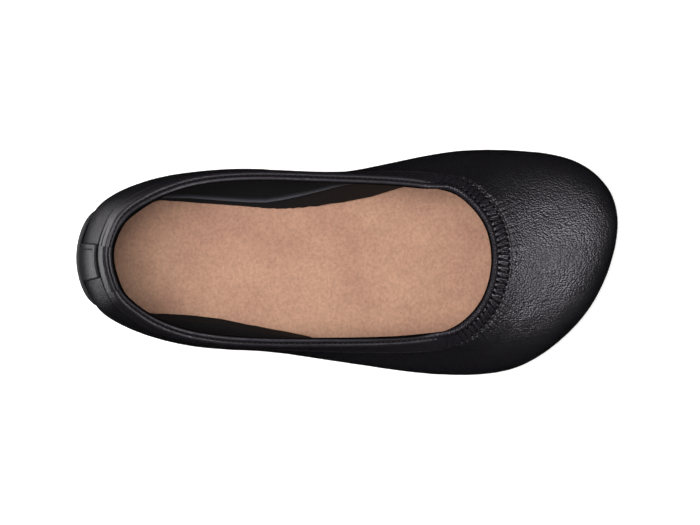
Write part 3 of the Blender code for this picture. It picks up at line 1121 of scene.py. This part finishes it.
class BuildTread(bpy.types.Operator):
    """Outsole's tread: two families of wavy ribs with square pits between them"""

    bl_idname = "ballet_flat.tread"
    bl_label = "Outsole tread"

    # The flat grid is larger than the sole, because its waves swing to either side
    grid_across, grid_along = (-62 * MM, 62 * MM), (-16 * MM, 272 * MM)
    wave_rounds = 40  # each family of ribs bends the other, and settles in so many rounds
    rib_slope = 0.22 * MM  # from the edge of a rib's top to the floor of the pit beside it
    border_depth = 0.35 * MM  # how far the cut border is sunk below the pits
    margin = 0.25 * MM  # between the tread's border and the step in the cup

    def execute(self, context):
        sizes = context.scene.shoe_sizes
        lines_x, top_x = self.lines(*self.grid_across, sizes.rib_pitch, sizes.rib_width)
        lines_y, top_y = self.lines(*self.grid_along, sizes.rib_pitch, sizes.rib_width)
        flat_x, flat_y = np.meshgrid(lines_x, lines_y)
        on_top = top_x[None, :] | top_y[:, None]
        x, y = flat_x.copy(), flat_y.copy()
        turn = 2 * math.pi / sizes.wave_length
        for _ in range(self.wave_rounds):
            x, y = (
                flat_x + sizes.wave_height * np.sin(turn * y),
                flat_y + sizes.wave_height * np.sin(turn * x),
            )
        points, outward, inside = self.on_sole(x.ravel(), y.ravel())
        depth = np.where(on_top.ravel(), 0.0, sizes.pit_depth)
        shaped = points - depth[:, None] * outward
        piece = sheet_of(shaped.reshape(*on_top.shape, 3), merge=False)
        point_attribute(piece, "rib_height", on_top.astype(float))
        self.cut_and_sink(piece, outward, inside, sizes.pit_depth)
        tidy_mesh(True)
        finish = tread_material(context.scene.shoe_colours)
        settle(piece, "outsole_tread", finish, "outsole")
        return {"FINISHED"}

    def cut_and_sink(self, piece, outward, inside, pit_depth):
        """Deletes what lies beyond the sole and sinks a narrow border into the cup."""
        away = piece.data.attributes.new("outward", "FLOAT_VECTOR", "POINT")
        away.data.foreach_set("vector", outward.astype(np.float32).ravel())
        work = bmesh.new()
        work.from_mesh(piece.data)
        away = work.verts.layers.float_vector["outward"]
        on_rib = work.verts.layers.float["rib_height"]
        work.verts.ensure_lookup_table()
        outer = [f for f in work.faces if not any(inside[v.index] for v in f.verts)]
        bmesh.ops.delete(work, geom=outer, context="FACES")
        loose = [v for v in work.verts if not v.link_faces]
        bmesh.ops.delete(work, geom=loose, context="VERTS")
        work.normal_update()
        border = [e for e in work.edges if e.is_boundary]
        made = bmesh.ops.extrude_edge_only(work, edges=border)
        sunk = [item for item in made["geom"] if isinstance(item, bmesh.types.BMVert)]
        for vert in sunk:
            vert.co -= vert[away] * (pit_depth * vert[on_rib] + self.border_depth)
        work.to_mesh(piece.data)
        work.free()
        piece.data.attributes.remove(piece.data.attributes["outward"])

    def lines(self, start, end, pitch, width):
        """Grid lines along the edges of the ribs' tops and of the pits' floors."""
        offsets = np.array(
            [-width / 2, width / 2, width / 2 + self.rib_slope, pitch - width / 2 - self.rib_slope]
        )
        count = int((end - start) / pitch)
        starts = start + pitch * np.arange(count)
        lines = (starts[:, None] + offsets).ravel()
        return lines, np.tile([True, True, False, False], count)

    def on_sole(self, x, y):
        """Flat places laid on the ground side and round its corner: point, outward, inside.

        A place beyond the ground side's edge is laid as far up the corner as it lies beyond
        the edge. That is measured along the outward direction that passes through the place,
        which is found between the columns where the place changes from one side to the other.
        """
        place = places(60)
        steps = 48
        corner, run, normals = rounded_corner(place, steps)
        limit = tread_wrap(place) * run[-1] - self.margin
        edge = corner[0, :, :2]
        level = rim_ring(place)[1][:, :2]
        count = len(place)
        points = np.empty((len(x), 3))
        outward = np.empty((len(x), 3))
        inside = np.empty(len(x), bool)
        beside = 10  # columns searched to either side of the nearest one
        for start in range(0, len(x), 4000):
            part = slice(start, start + 4000)
            flat = np.stack([x[part], y[part]], axis=1)
            away = flat[:, None] - edge[None]
            nearest = (away**2).sum(axis=2).argmin(axis=1)
            window = (nearest[:, None] + np.arange(-beside, beside + 1)) % count
            gap = flat[:, None] - edge[window]
            cross = gap[..., 0] * level[window][..., 1] - gap[..., 1] * level[window][..., 0]
            flip = np.sign(cross[:, :-1]) != np.sign(cross[:, 1:])
            first = np.where(flip.any(axis=1), flip.argmax(axis=1), beside)
            rows = np.arange(len(flat))
            low, high = cross[rows, first], cross[rows, first + 1]
            share = np.where(low != high, low / np.where(low != high, low - high, 1), 0)
            column = window[rows, first] + np.clip(share, 0, 1)
            beyond = ((flat - read_ring(edge, column)) * read_ring(level, column)).sum(axis=1)
            reach = read_ring(limit[:, None], column)[:, 0]
            inside[part] = beyond <= reach
            along = np.clip(beyond, 0, reach.clip(0))
            own_run = run[:, np.round(column).astype(int) % count]
            row = np.array([np.interp(along[i], own_run[:, i], np.arange(steps + 1)) for i in rows])
            flat_point = np.c_[flat, spring(flat[:, 1])]
            slope = (spring(flat[:, 1] + MM) - spring(flat[:, 1] - MM)) / (2 * MM)
            flat_out = np.c_[0 * slope, slope, -np.ones(len(flat))]
            on_flat = (beyond <= 0)[:, None]
            points[part] = np.where(on_flat, flat_point, read_grid(corner, row, column))
            outward[part] = unit(np.where(on_flat, flat_out, read_grid(normals, row, column)))
        return points, outward, inside


class BuildUpper(bpy.types.Operator):
    """Leather upper: one wall with its creases, gathered at the throat"""

    bl_idname = "ballet_flat.upper"
    bl_label = "Leather upper"

    gather_reach = 3.4 * MM  # below the binding the throat's gathers fade out over this
    gather_depth, cross_depth = 0.20 * MM, 0.09 * MM  # a gather a stitch, and uneven ones
    lip_height, lip_reach = 0.95 * MM, 9 * MM  # the throat's leather rises to meet the binding
    sag, sag_length = 0.10 * MM, 34 * MM  # soft unevenness of the whole wall
    dimple, dimple_length = 0.03 * MM, 9 * MM
    leather_alone = 0.9 * MM  # without the lining

    def execute(self, context):
        sizes = context.scene.shoe_sizes
        place = gather_places(1080)
        outer, outward = wall_and_outward(place, 10, 54)
        outer = outer + self.relief(outer, place, sizes)[..., None] * outward
        inner, inner_out = wall_and_outward(place, 3, 8)
        inner = inner - self.leather_alone * inner_out
        piece = closed_band(np.concatenate([outer, inner[::-1]]))
        colour = context.scene.shoe_colours.leather
        finish = leather_material("black nappa leather", colour, 0.37, sizes.grain, 0.18 * MM)
        settle(piece, "upper_leather", finish, "upper", sharp=60)
        return {"FINISHED"}

    def relief(self, outer, place, sizes):
        """Height of gathers, lip, unevenness and creases over the plain wall."""
        down = from_collar(outer)
        phase = 2 * math.pi * stitch_count(sizes) * collar_run(place) / COLLAR_RUN[-1]
        below = down - BINDING_WIDTH
        pull = at_throat(place) * np.exp(-np.clip(below, 0, None) / self.gather_reach)
        even = 0.5 + 0.5 * np.cos(phase + 0.5 * np.sin(phase * 0.37))
        uneven = np.cos(1.9 * phase + 2.0 * np.sin(phase * 0.21))
        shaped = -pull * (self.gather_depth * even + self.cross_depth * uneven)
        lip = np.exp(-np.clip(below, 0, None) / self.lip_reach)
        lip = lip * step_down(-below, 0.05 * MM, 0.35 * MM)
        shaped += self.lip_height * at_throat(place) * lip
        above_sole = 1 - step_down(down.max(axis=0) - down, 0, 12 * MM)
        free = step_down(-below, 0.0, 4 * MM) * above_sole
        shaped += self.sag * waves(outer, self.sag_length, 7, 3) * free
        shaped += self.dimple * waves(outer, self.dimple_length, 9, 5) * free
        for crease in CREASES:
            shaped += self.ridge(outer, *(size * MM for size in crease))
        return shaped

    def ridge(self, points, start_x, start_y, end_x, end_y, height, width):
        """A soft ridge with a trough beside it, along a line seen from above."""
        start = np.array([start_x, start_y])
        along = np.array([end_x, end_y]) - start
        length = np.linalg.norm(along)
        along = along / length
        gap = points[..., :2] - start
        off = gap[..., 0] * along[1] - gap[..., 1] * along[0]
        profile = bump_at(off, 0, width) - 0.6 * bump_at(off, -1.8 * width, width)
        ends = bump_at(np.clip(gap @ along / length, -3, 4), 0.5, 0.42)
        above_sole = 1 - step_down(points[..., 2], RIM_RISE, 2 * RIM_RISE)
        return height * profile * ends * above_sole


class BuildLining(bpy.types.Operator):
    """Padded knitted lining, with a raised fold along the big-toe side"""

    bl_idname = "ballet_flat.lining"
    bl_label = "Lining"

    hidden_depth = 0.98 * MM  # its hidden face lies this far behind the leather's outer face
    fine_zone = 2.4 * MM  # to either side of the crest, where its rings lie close together
    fold_height, fold_width = 0.9 * MM, 0.8 * MM
    trough_depth, trough_width = 0.35 * MM, 0.6 * MM
    trough_away = 1.8 * MM  # from the crest, on both sides

    def execute(self, context):
        place = places(20)
        face, outward = wall_and_outward(place, 6, 14)
        near = face - self.hidden_depth * outward
        plain, height, ridge = lining_face(place, 24, 70)
        down = from_collar(plain)
        ribs = range(len(place))
        crest = np.array([np.interp(height[rib], plain[:, rib, 2], down[:, rib]) for rib in ribs])
        zone = np.full(len(place), self.fine_zone)
        offsets = np.concatenate(
            [
                np.linspace(down[0] - crest, zone, 15)[:-1],
                np.linspace(zone, -zone, 21),
                np.linspace(-zone, -crest, 36)[1:],
            ]
        )
        rows = at_distance(plain, np.clip(crest + offsets, 0, None))
        normals = turned_to(ring_normals(rows), -outward[-1], -1)
        fold = bump_at(offsets, 0, self.fold_width)
        troughs = bump_at(np.abs(offsets), self.trough_away, self.trough_width)
        lift = (self.fold_height * fold - self.trough_depth * troughs) * ridge
        far = rows + lift[..., None] * normals
        # Painted highlight along the fold's crest
        painted_crest_highlight = np.concatenate([0 * near[..., 0], (fold * ridge)[::-1]])
        piece = closed_band(np.concatenate([near, far[::-1]]), {"crest": painted_crest_highlight})
        finish = lining_material(context.scene.shoe_colours)
        settle(piece, "upper_lining", finish, "upper", sharp=60)
        return {"FINISHED"}


def folded_over(place, depth, legs, back, crown_steps):
    """A face that lies depth off the leather and is folded over the collar.

    legs and back are distances down the outside and the inside. Returns the face's rings from
    its lower edge outside to the one inside, how far each lies down from the outer end of the
    crown, negative past it, and the outward direction at the collar.
    """
    face, outward = wall_and_outward(place)
    outer = face + depth * outward
    inner = face - (LEATHER_WALL + depth) * outward
    middle = face - LEATHER_WALL / 2 * outward
    side = unit(outer[-1] - inner[-1])
    up = unit(middle[-1] - middle[-2])
    radius = LEATHER_WALL / 2 + depth
    angles = np.linspace(0, math.pi, crown_steps)[1:-1]
    crown = [middle[-1] + radius * (math.cos(a) * side + math.sin(a) * up) for a in angles]
    rings = np.concatenate([at_distance(outer, legs), crown, at_distance(inner, back)])
    down = np.concatenate([legs, -radius * angles, -radius * math.pi - back])
    return rings, down, side


class BuildBinding(bpy.types.Operator):
    """Folded collar binding: elastic bead, two rows of stitches and the gathers between them"""

    bl_idname = "ballet_flat.binding"
    bl_label = "Collar binding"

    # Distances down from the fold's outer side. Along the sides and the heel the row of stitches
    # that closes the bead lies on top of the fold, round the throat it lies further down.
    side_row, throat_row = -2.7 * MM, 1.8 * MM
    side_bead, throat_bead = -4.7 * MM, -0.6 * MM
    second_row = 6.6 * MM
    # Between strip and loop the band is painted in shade, apart from a ridge this far down
    heel_ridge = 5.0 * MM  # between strip and loop only a ridge this far down catches light
    deepest = -0.70 * MM  # nothing is pressed further into the hem than this
    thread_radius = 0.13 * MM

    def execute(self, context):
        sizes = context.scene.shoe_sizes
        colours = context.scene.shoe_colours
        place = gather_places(1300)
        _, level = rim_ring(place)
        legs = np.linspace(BINDING_WIDTH, 0, 33)
        back = np.linspace(0, BINDING_INSIDE, 7)
        far, down, _ = folded_over(place, CLEARANCE + BINDING_THICKNESS, legs, back, 24)
        near, _, _ = folded_over(place, CLEARANCE, legs[::8], back[::3], 5)
        normals = turned_to(ring_normals(far), level, 4)
        lift, painted_shade = self.relief(place, down, sizes)
        skin = far + lift[..., None] * normals

        # Painted shade on the inner side, which faces away from every light, sooner round the
        # throat, and all over the hidden face
        inward = -(normals * level).sum(axis=2) * (down[:, None] < 0)
        sooner = 0.2 * at_throat(place)
        shaded = 1 - step_down(inward, 0.55 - sooner, 0.85 - sooner)
        painted_shade = np.concatenate([np.maximum(painted_shade, shaded), np.ones((len(near), len(place)))])
        piece = closed_band(np.concatenate([skin, near[::-1]]), {"painted_shade": painted_shade})
        finish = leather_material(
            "black binding leather", colours.binding, 0.34, 0.9 * MM, 0.11 * MM
        )
        settle(piece, "collar_binding_leather", finish, "collar_binding", sharp=60)
        piece = self.stitches(place, skin, normals, down, sizes)
        settle(piece, "collar_stitches", thread_material(colours), None)
        return {"FINISHED"}

    def relief(self, place, down, sizes):
        """Height of bead, grooves, gathers and needle holes over the plain hem, and the painted
        shade.
        """
        down = down[:, None]
        throat = at_throat(place)
        sides = 1 - throat
        first_row = self.first_row(place)
        count = stitch_count(sizes)
        turn = collar_run(place) / COLLAR_RUN[-1] * count
        draw = np.random.default_rng(11)
        numbers = np.arange(count + 1)
        unequal = np.interp(turn, numbers, draw.uniform(0.75, 1.2, count + 1))
        fold_size = np.interp(turn, numbers, draw.uniform(0.3, 1.0, count + 1))
        fold_shift = np.interp(turn, numbers, draw.uniform(-0.13, 0.13, count + 1))

        # The bead over the elastic: thicker beside the heel on the big toe's side, and lumpy
        # where the throat's elastic pulls it together, two lumps a stitch
        bead_centre = self.side_bead + (self.throat_bead - self.side_bead) * throat
        bead = bump_at(down, bead_centre, (1.05 + 0.10 * throat) * MM)
        from_heel = (place + ROUND / 2) % ROUND - ROUND / 2
        thicker = bump_at(from_heel, -2.1, 0.8)
        lumps = np.cos(4 * math.pi * turn + 0.8 * np.sin(turn * 1.3)) * unequal
        lift = (1.25 - 0.80 * throat + thicker) * MM * bead
        lift = lift + (0.05 + 0.15 * throat) * MM * bead * lumps

        # Along the sides the first row lies in a groove, whose outer shoulder is soft
        groove = bump_at(down, first_row, 0.55 * MM) * sides
        shoulder = bump_at(np.maximum(down - first_row, 0), 0, 1.7 * MM) * sides
        lift = lift - 0.62 * MM * np.maximum(groove, 0.9 * shoulder * (down > first_row))

        # Between the rows the throat is pleated: a slanting valley a stitch, and a finer fold
        # on the pleat beside it
        start, end = first_row - 0.9 * MM, self.second_row + 0.5 * MM
        pleated = step_down(down, end - 0.7 * MM, end)
        pleated = pleated * (1 - step_down(down, start, start + 0.9 * MM))
        slant = 0.09 * (down - first_row) / MM * np.sin(turn * 0.71 + 1.5 * fold_size)
        valley = self.line_between(turn + slant, 0.0, sizes.stitch, 0.30 * MM)
        fold = self.line_between(turn + slant + fold_shift, 0.5, sizes.stitch, 0.26 * MM)
        fold = fold * fold_size * bump_at(down, self.second_row, 4.2 * MM)
        pleats = 1.0 - 2.0 * valley - 1.9 * fold
        lift = lift + sizes.pleat_depth * throat * unequal * pleated * pleats

        # Needle holes of both rows, wide open where the throat is pulled together, the line
        # that the second row presses in along the sides, and the hem's thinned lower edge
        needle = self.line_between(turn, 0.0, sizes.stitch, 0.50 * MM)
        holes = needle * bump_at(down, self.second_row, 0.55 * MM)
        dots = needle * bump_at(down, first_row, 0.65 * MM)
        lift = lift - (0.10 + 0.60 * throat) * MM * holes - (0.05 + 0.60 * throat) * MM * dots
        lift = lift - 0.16 * MM * sides * bump_at(down, self.second_row, 0.36 * MM)
        edge = step_down(-down, -BINDING_WIDTH, -BINDING_WIDTH + 0.6 * MM)
        lift = lift - (0.25 * sides + 0.15 * throat) * MM * edge

        # Painted shade, black and rough: holes, groove and valleys, the seam line along the sides,
        # and the band between strip and loop apart from its ridge
        seam = bump_at(down, self.second_row + 0.8 * MM, 0.30 * MM)
        ridge = bump_at(down, self.heel_ridge, 0.9 * MM)
        band = bump_at(from_heel, 0, 1.2) * (1 - step_down(down, 2.6 * MM, 3.4 * MM))
        painted_shade = np.maximum(throat * np.maximum(holes, dots), 0.75 * groove)
        painted_shade = np.maximum(painted_shade, 0.25 * throat * valley * pleated)
        painted_shade = np.maximum(painted_shade, 0.8 * sides * seam)
        painted_shade = np.maximum(painted_shade, 0.8 * band * (1 - ridge))
        return np.clip(lift, self.deepest, None), np.clip(1.3 * painted_shade, 0, 1)

    def line_between(self, turn, offset, pitch, width):
        """1 on lines across the hem, one a stitch, falling to 0 beside them."""
        return bump_at(((turn + offset + 0.5) % 1 - 0.5) * pitch, 0, width)

    def first_row(self, place):
        """How far down the row of stitches lies that closes the bead."""
        return self.side_row + (self.throat_row - self.side_row) * at_throat(place)

    def stitches(self, place, skin, normals, down, sizes):
        """Threads between the needle holes of both rows, modelled once and copied."""
        count = stitch_count(sizes)
        turns = np.arange(count)
        hole_places = np.interp(turns / count * COLLAR_RUN[-1], COLLAR_RUN, COLLAR_PLACES)
        ribs = np.arange(len(place) + 1)
        run = np.concatenate([collar_run(place), COLLAR_RUN[-1:]])
        ends, ups = [], []
        for hole, first_down in zip(turns, self.first_row(hole_places)):
            for depth in (first_down, self.second_row):
                row = np.array(np.interp(-depth, -down, np.arange(len(down))))
                for turn in (hole + 0.12, hole + 0.88):
                    along = (turn % count) / count * COLLAR_RUN[-1]
                    column = np.array(np.interp(along, run, ribs))
                    normal = read_grid(normals, row, column)
                    ends.append(read_grid(skin, row, column) + 0.04 * MM * normal)
                    ups.append(normal)
        ends, ups = np.array(ends), np.array(ups)
        ups = unit(ups[::2] + ups[1::2])
        return copied_stitches(ends[::2], ends[1::2], ups, self.thread_radius)


def copied_stitches(starts, ends, ups, radius):
    """One rounded thread, copied between pairs of needle holes as one mesh."""
    bpy.ops.object.select_all(action="DESELECT")
    bpy.ops.mesh.primitive_uv_sphere_add(segments=6, ring_count=6, radius=1)
    model = bpy.context.object
    ball = np.array([corner.co for corner in model.data.vertices])
    faces = [list(face.vertices) for face in model.data.polygons]
    bpy.data.objects.remove(model)
    points, all_faces = [], []
    for start, end, up in zip(starts, ends, ups):
        along = end - start
        length = np.linalg.norm(along)
        along = along / length
        across = unit(np.cross(up, along))
        lift = np.cross(along, across)
        first = len(points) * len(ball)
        thread = ball[:, 2:3] * (length / 2) * along
        thread = thread + radius * (ball[:, :1] * across + ball[:, 1:2] * lift)
        dip = radius * np.abs(ball[:, 2:3]) ** 3  # its ends go down into the holes
        points.append((start + end) / 2 + thread - dip * up)
        all_faces += [[first + corner for corner in face] for face in faces]
    mesh = bpy.data.meshes.new("stitches")
    mesh.from_pydata([tuple(p) for p in np.concatenate(points) + SHIFT], [], all_faces)
    piece = bpy.data.objects.new("stitches", mesh)
    bpy.context.collection.objects.link(piece)
    bpy.context.view_layer.objects.active = piece
    piece.select_set(True)
    tidy_mesh(False)
    return piece


def heel_places(centre, width, ring_index, count):
    """Places from one side of the heel's back to the other, by their x on one of the rings."""
    fine = np.linspace(-HEEL_REACH, HEEL_REACH, HEEL_SAMPLES)
    x = wall_rings(fine, 3, 8)[ring_index, :, 0]
    middle = np.interp(0, fine, x) + centre
    edges = np.linspace(middle - width / 2, middle + width / 2, count + 1)
    return np.interp(edges, x, fine)


class BuildHeelStrip(bpy.types.Operator):
    """Leather strip over the back seam, with a raised edge along each side"""

    bl_idname = "ballet_flat.heel_strip"
    bl_label = "Heel strip"

    side_ridge, top_ridge = 0.14 * MM, 0.25 * MM
    fold_depth, edge_depth = 0.30 * MM, 0.45 * MM
    wave_height = 0.05 * MM

    def execute(self, context):
        colours = context.scene.shoe_colours
        place = heel_places(STRIP_OFF_CENTRE, STRIP_WIDTH, CORNER_STEPS + 3, 48)
        face, outward = wall_and_outward(place)
        near = face + CLEARANCE * outward
        steps = np.linalg.norm(np.diff(near[CORNER_STEPS - 1 :], axis=0), axis=2)
        lowest = steps.sum(axis=0).min() - 2 * CLEARANCE
        distances = np.linspace(lowest, BINDING_WIDTH + CLEARANCE, 60)
        across = np.linspace(-1, 1, len(place))[None, :]
        upward = np.linspace(0, 1, len(distances))[:, None]

        # A fold runs up beside the big toe's edge, and every cut edge is rounded off
        fold_line = across + 0.86 - 0.20 * step_down(-upward, -0.45, 0.0)
        fold = bump_at(fold_line, 0, 0.045) * step_down(upward, 0.86, 0.94)
        cut_sides = step_down(1 - np.abs(across), 0.02, 0.075)
        edges = np.maximum(cut_sides, step_down(1 - upward, 0.005, 0.04))
        lift = self.side_ridge * bump_at(np.abs(across), 0.90, 0.05)
        lift = lift + self.top_ridge * bump_at(upward, 0.93, 0.025)
        lift = lift - self.fold_depth * fold - self.edge_depth * edges
        lift = lift + self.wave_height * np.sin(upward * 9 + across * 2)
        rows = at_distance(near, distances)
        normals = unit(at_distance(outward + near, distances) - rows)
        far = rows + (STRIP_THICKNESS + lift)[..., None] * normals
        # Painted shade in the fold and along the cut edges
        painted_shade = np.maximum(0.9 * fold, edges) * np.ones((len(rows), len(place)))
        piece = closed_strip(rows, far, painted_shade)
        finish = leather_material("black strip leather", colours.strip, 0.36, 1.0 * MM, 0.14 * MM)
        settle(piece, "heel_strip_leather", finish, "heel_strip", sharp=50)
        return {"FINISHED"}


def closed_strip(near, far, painted_shade):
    """A strip of leather between its near and far faces, with both of its ends closed.

    The near face is all in painted shade.
    """
    all_shaded = np.ones(painted_shade.shape)
    piece = sheet_of(np.concatenate([near, far[::-1], near[:1]]), merge=False)
    point_attribute(piece, "painted_shade", np.concatenate([all_shaded, painted_shade[::-1], all_shaded[:1]]))
    tidy_mesh(True)
    bpy.ops.object.mode_set(mode="EDIT")
    bpy.ops.mesh.select_all(action="DESELECT")
    bpy.ops.mesh.select_mode(type="EDGE")
    bpy.ops.mesh.select_non_manifold(extend=False)
    bpy.ops.mesh.edge_face_add()
    bpy.ops.object.mode_set(mode="OBJECT")
    tidy_mesh(True)
    return piece


class BuildHeelLoop(bpy.types.Operator):
    """Short folded loop over the ends of the binding, with two ridges along its fold"""

    bl_idname = "ballet_flat.heel_loop"
    bl_label = "Heel loop"

    # Distances past the outer end of the crown, and how far it stands up or is pressed in there
    ridges, ridge_height = (-1.90 * MM, -3.10 * MM), 0.30 * MM
    groove, groove_depth = -2.50 * MM, 0.35 * MM
    # Painted shade on the inner side from this far down, where it faces away from every light
    painted_shade_from = (3.6 * MM, 4.0 * MM)  # its inner side faces away from every light

    def execute(self, context):
        colours = context.scene.shoe_colours
        place = heel_places(LOOP_OFF_CENTRE, LOOP_WIDTH, -1, 44)
        legs, back = np.linspace(LOOP_OUTSIDE, 0, 9), np.linspace(0, LOOP_INSIDE, 9)
        depth = 2 * CLEARANCE + BINDING_THICKNESS
        rows, down, side = folded_over(place, depth, legs, back, 42)
        down = down[:, None]
        normals = unit(np.cross(np.gradient(rows, axis=1), np.gradient(rows, axis=0)))
        normals = turned_to(normals, side)
        groove = bump_at(down, self.groove, 0.25 * MM)
        ridges = sum(bump_at(down, ridge, 0.40 * MM) for ridge in self.ridges)
        lift = self.ridge_height * ridges - self.groove_depth * groove
        far = rows + (LOOP_THICKNESS + lift)[..., None] * normals
        # Painted shade in the groove and on the inner side
        painted_shade = np.maximum(0.9 * groove, 1 - step_down(-down, *self.painted_shade_from))
        piece = closed_strip(rows, far, painted_shade * np.ones((1, len(place))))
        finish = leather_material("black loop leather", colours.strip, 0.36, 1.0 * MM, 0.12 * MM)
        settle(piece, "heel_loop_leather", finish, "heel_loop", sharp=50)
        return {"FINISHED"}


class BuildInsole(bpy.types.Operator):
    """Suede-faced insole, softly uneven, its edge tucked under the lining"""

    bl_idname = "ballet_flat.insole"
    bl_label = "Insole"

    insets = np.array([0.0, 0.3, 0.6, 0.9, 1.3, 1.8, 2.6, 4.0, 6.0]) * MM  # rings inside the edge
    shade_width = 0.9 * MM  # its edge falls away into the lining's shade over this
    unevenness, uneven_length = 0.10 * MM, 38 * MM
    tucked = 0.2 * MM  # how far its hidden edge lies lower

    def execute(self, context):
        place = places(20)
        _, outward = rim_ring(place)
        face, out = wall_and_outward(place)
        lining = face - (LEATHER_WALL + CLEARANCE) * out
        bottom = cup_inside(place, CORNER_STEPS)[0] + CLEARANCE * (UP - outward)
        edge = at_height(lining, bottom[:, 2] + INSOLE_THICKNESS)
        shown = lining_foot(place)
        middle = np.array([0.0, LENGTH / 2, 0.0])
        reach = np.linalg.norm((middle - shown)[:, :2], axis=1)
        top, shades = [edge, (edge + shown) / 2], [1.0, 1.0]
        for inset in self.insets:
            top.append(shown + (middle - shown) * (inset / reach)[:, None])
            shades.append(math.exp(-((inset / self.shade_width) ** 1.5)))
        last = self.insets[-1] / reach
        for share in np.linspace(0, 1, 25)[1:]:
            top.append(shown + (middle - shown) * (last + (1 - last) * share)[:, None])
            shades.append(0.0)
        top = np.array(top)
        uneven = self.unevenness * waves(top, self.uneven_length, 6, 21)
        top[..., 2] = spring(top[..., 1]) + INSOLE_TOP + uneven
        top[:2, :, 2] -= self.tucked
        top[-1] = top[-1].mean(axis=0)
        under = plate_rings(bottom, 0, 3)
        under[..., 2] += (bottom[:, 2] - spring(bottom[:, 1])).mean()
        rows = np.concatenate([under[::-1], [bottom], [lining[0]], top])
        shade = np.zeros(rows.shape[:2])
        shade[-len(top) :] = np.array(shades)[:, None]
        piece = sheet_of(closed_round(rows), merge=False)
        point_attribute(piece, "edge_shade", closed_round(shade[..., None])[..., 0])
        tidy_mesh(True)
        finish = suede_material(context.scene.shoe_colours)
        settle(piece, "insole_suede", finish, "insole", sharp=60)
        return {"FINISHED"}


class BuildStage(bpy.types.Operator):
    """Pale floor, soft lights and the camera straight above the shoe"""

    bl_idname = "ballet_flat.stage"
    bl_label = "Stage"

    floor_size, floor_drop = 8.0, 0.05 * MM  # it lies just below the sole's ground side
    sky = 0.45  # strength of the even white light from all round
    # Points of the shoe that the lights are aimed at
    toe, heel, middle = (0.0, 0.08, 0.03), (0.0, -0.1, 0.03), (0.0, 0.0, 0.03)

    # The picture: the size of a pixel on the shoe, and the column of the shoe's middle
    pixel = 0.4705 * MM
    picture_width, centre_column = 700, 346.5
    camera_distance, subject_height = 4.0, 12 * MM
    sensor = 36.0  # millimetres, as the camera's lens

    def execute(self, context):
        bpy.ops.object.select_all(action="DESELECT")
        bpy.ops.mesh.primitive_plane_add(size=self.floor_size, location=(0, 0, -self.floor_drop))
        floor = context.object
        floor.name = "floor"
        bpy.ops.object.transform_apply(location=True, rotation=True, scale=True)
        floor.data.materials.append(acrylic_material(context.scene.shoe_colours))
        floor.visible_glossy = False

        # The key light gives the toe its highlight alone: with diffuse light too, the vamp
        # would throw a hard shadow on the insole. The fill light gives no highlight.
        key = self.light("toe softbox", (0.32, 1.15, 1.75), self.toe, 0.45, 31)
        key.visible_diffuse = False
        self.light("heel softbox", (-0.15, -1.1, 1.6), self.heel, 0.9, 24)
        self.light("overhead softbox", (-0.5, 0.3, 2.1), self.middle, 0.6, 9)
        fill = self.light("fill softbox", (0.05, -0.36, 2.05), self.middle, 1.0, 38)
        fill.visible_glossy = False
        # A glowing card on the floor behind the heel, which the steep leather there mirrors
        self.panel("heel card", (-0.09, -0.232, 0.0002), (math.pi, 0, 0), 0.28, 0.15, 0.34)
        world = context.scene.world or bpy.data.worlds.new("studio")
        context.scene.world = world
        world.use_nodes = True
        backdrop = world.node_tree.nodes["Background"]
        backdrop.inputs["Color"].default_value = (1.0, 1.0, 1.0, 1.0)
        backdrop.inputs["Strength"].default_value = self.sky
        world.cycles_visibility.glossy = False
        context.scene.view_settings.view_transform = "Standard"
        self.camera(context)
        return {"FINISHED"}

    def light(self, name, place, target, size, power):
        """A square soft light, aimed at a point of the shoe."""
        aim = (Vector(target) - Vector(place)).to_track_quat("-Z", "Y").to_euler()
        return self.panel(name, place, aim, size, size, power)

    def panel(self, name, place, turn, width, depth, power):
        """A glowing rectangle that the camera doesn't see."""
        bpy.ops.object.light_add(type="AREA", location=place, rotation=turn)
        lamp = bpy.context.object
        lamp.name = name
        lamp.data.shape = "RECTANGLE"
        lamp.data.size = width
        lamp.data.size_y = depth
        lamp.data.energy = power
        lamp.visible_camera = False
        return lamp

    def camera(self, context):
        """Right of the picture is towards the toes and its top towards the big toe's side."""
        shift = (self.picture_width / 2 - self.centre_column) * self.pixel
        height = self.camera_distance + self.subject_height
        bpy.ops.object.camera_add(location=(0.0, shift, height), rotation=(0, 0, math.pi / 2))
        camera = context.object
        camera.data.sensor_width = self.sensor
        camera.data.lens = self.sensor * self.camera_distance / (self.picture_width * self.pixel)
        camera.data.clip_end = 20
        context.scene.camera = camera


class ShoePanel(bpy.types.Panel):
    """Lists the steps that dress the shoe"""

    bl_idname = "VIEW3D_PT_ballet_flat"
    bl_label = "Barefoot ballet flat"
    bl_space_type = "VIEW_3D"
    bl_region_type = "UI"
    bl_category = "Ballet Flat"

    def draw(self, context):
        for step in STEPS:
            self.layout.operator(step.bl_idname)


STEPS = (
    BuildCup,
    BuildTread,
    BuildUpper,
    BuildLining,
    BuildBinding,
    BuildHeelStrip,
    BuildHeelLoop,
    BuildInsole,
    BuildStage,
)
CLASSES = (ShoeSizes, ShoeColours, *STEPS, ShoePanel)


def register():
    for item in CLASSES:
        bpy.utils.register_class(item)
    bpy.types.Scene.shoe_sizes = bpy.props.PointerProperty(type=ShoeSizes)
    bpy.types.Scene.shoe_colours = bpy.props.PointerProperty(type=ShoeColours)


def unregister():
    del bpy.types.Scene.shoe_colours
    del bpy.types.Scene.shoe_sizes
    for item in reversed(CLASSES):
        bpy.utils.unregister_class(item)


def main():
    """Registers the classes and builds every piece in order."""
    register()
    bpy.ops.object.select_all(action="DESELECT")
    for step in STEPS:
        group, name = step.bl_idname.split(".")
        getattr(getattr(bpy.ops, group), name)()


if __name__ == "__main__":
    main()
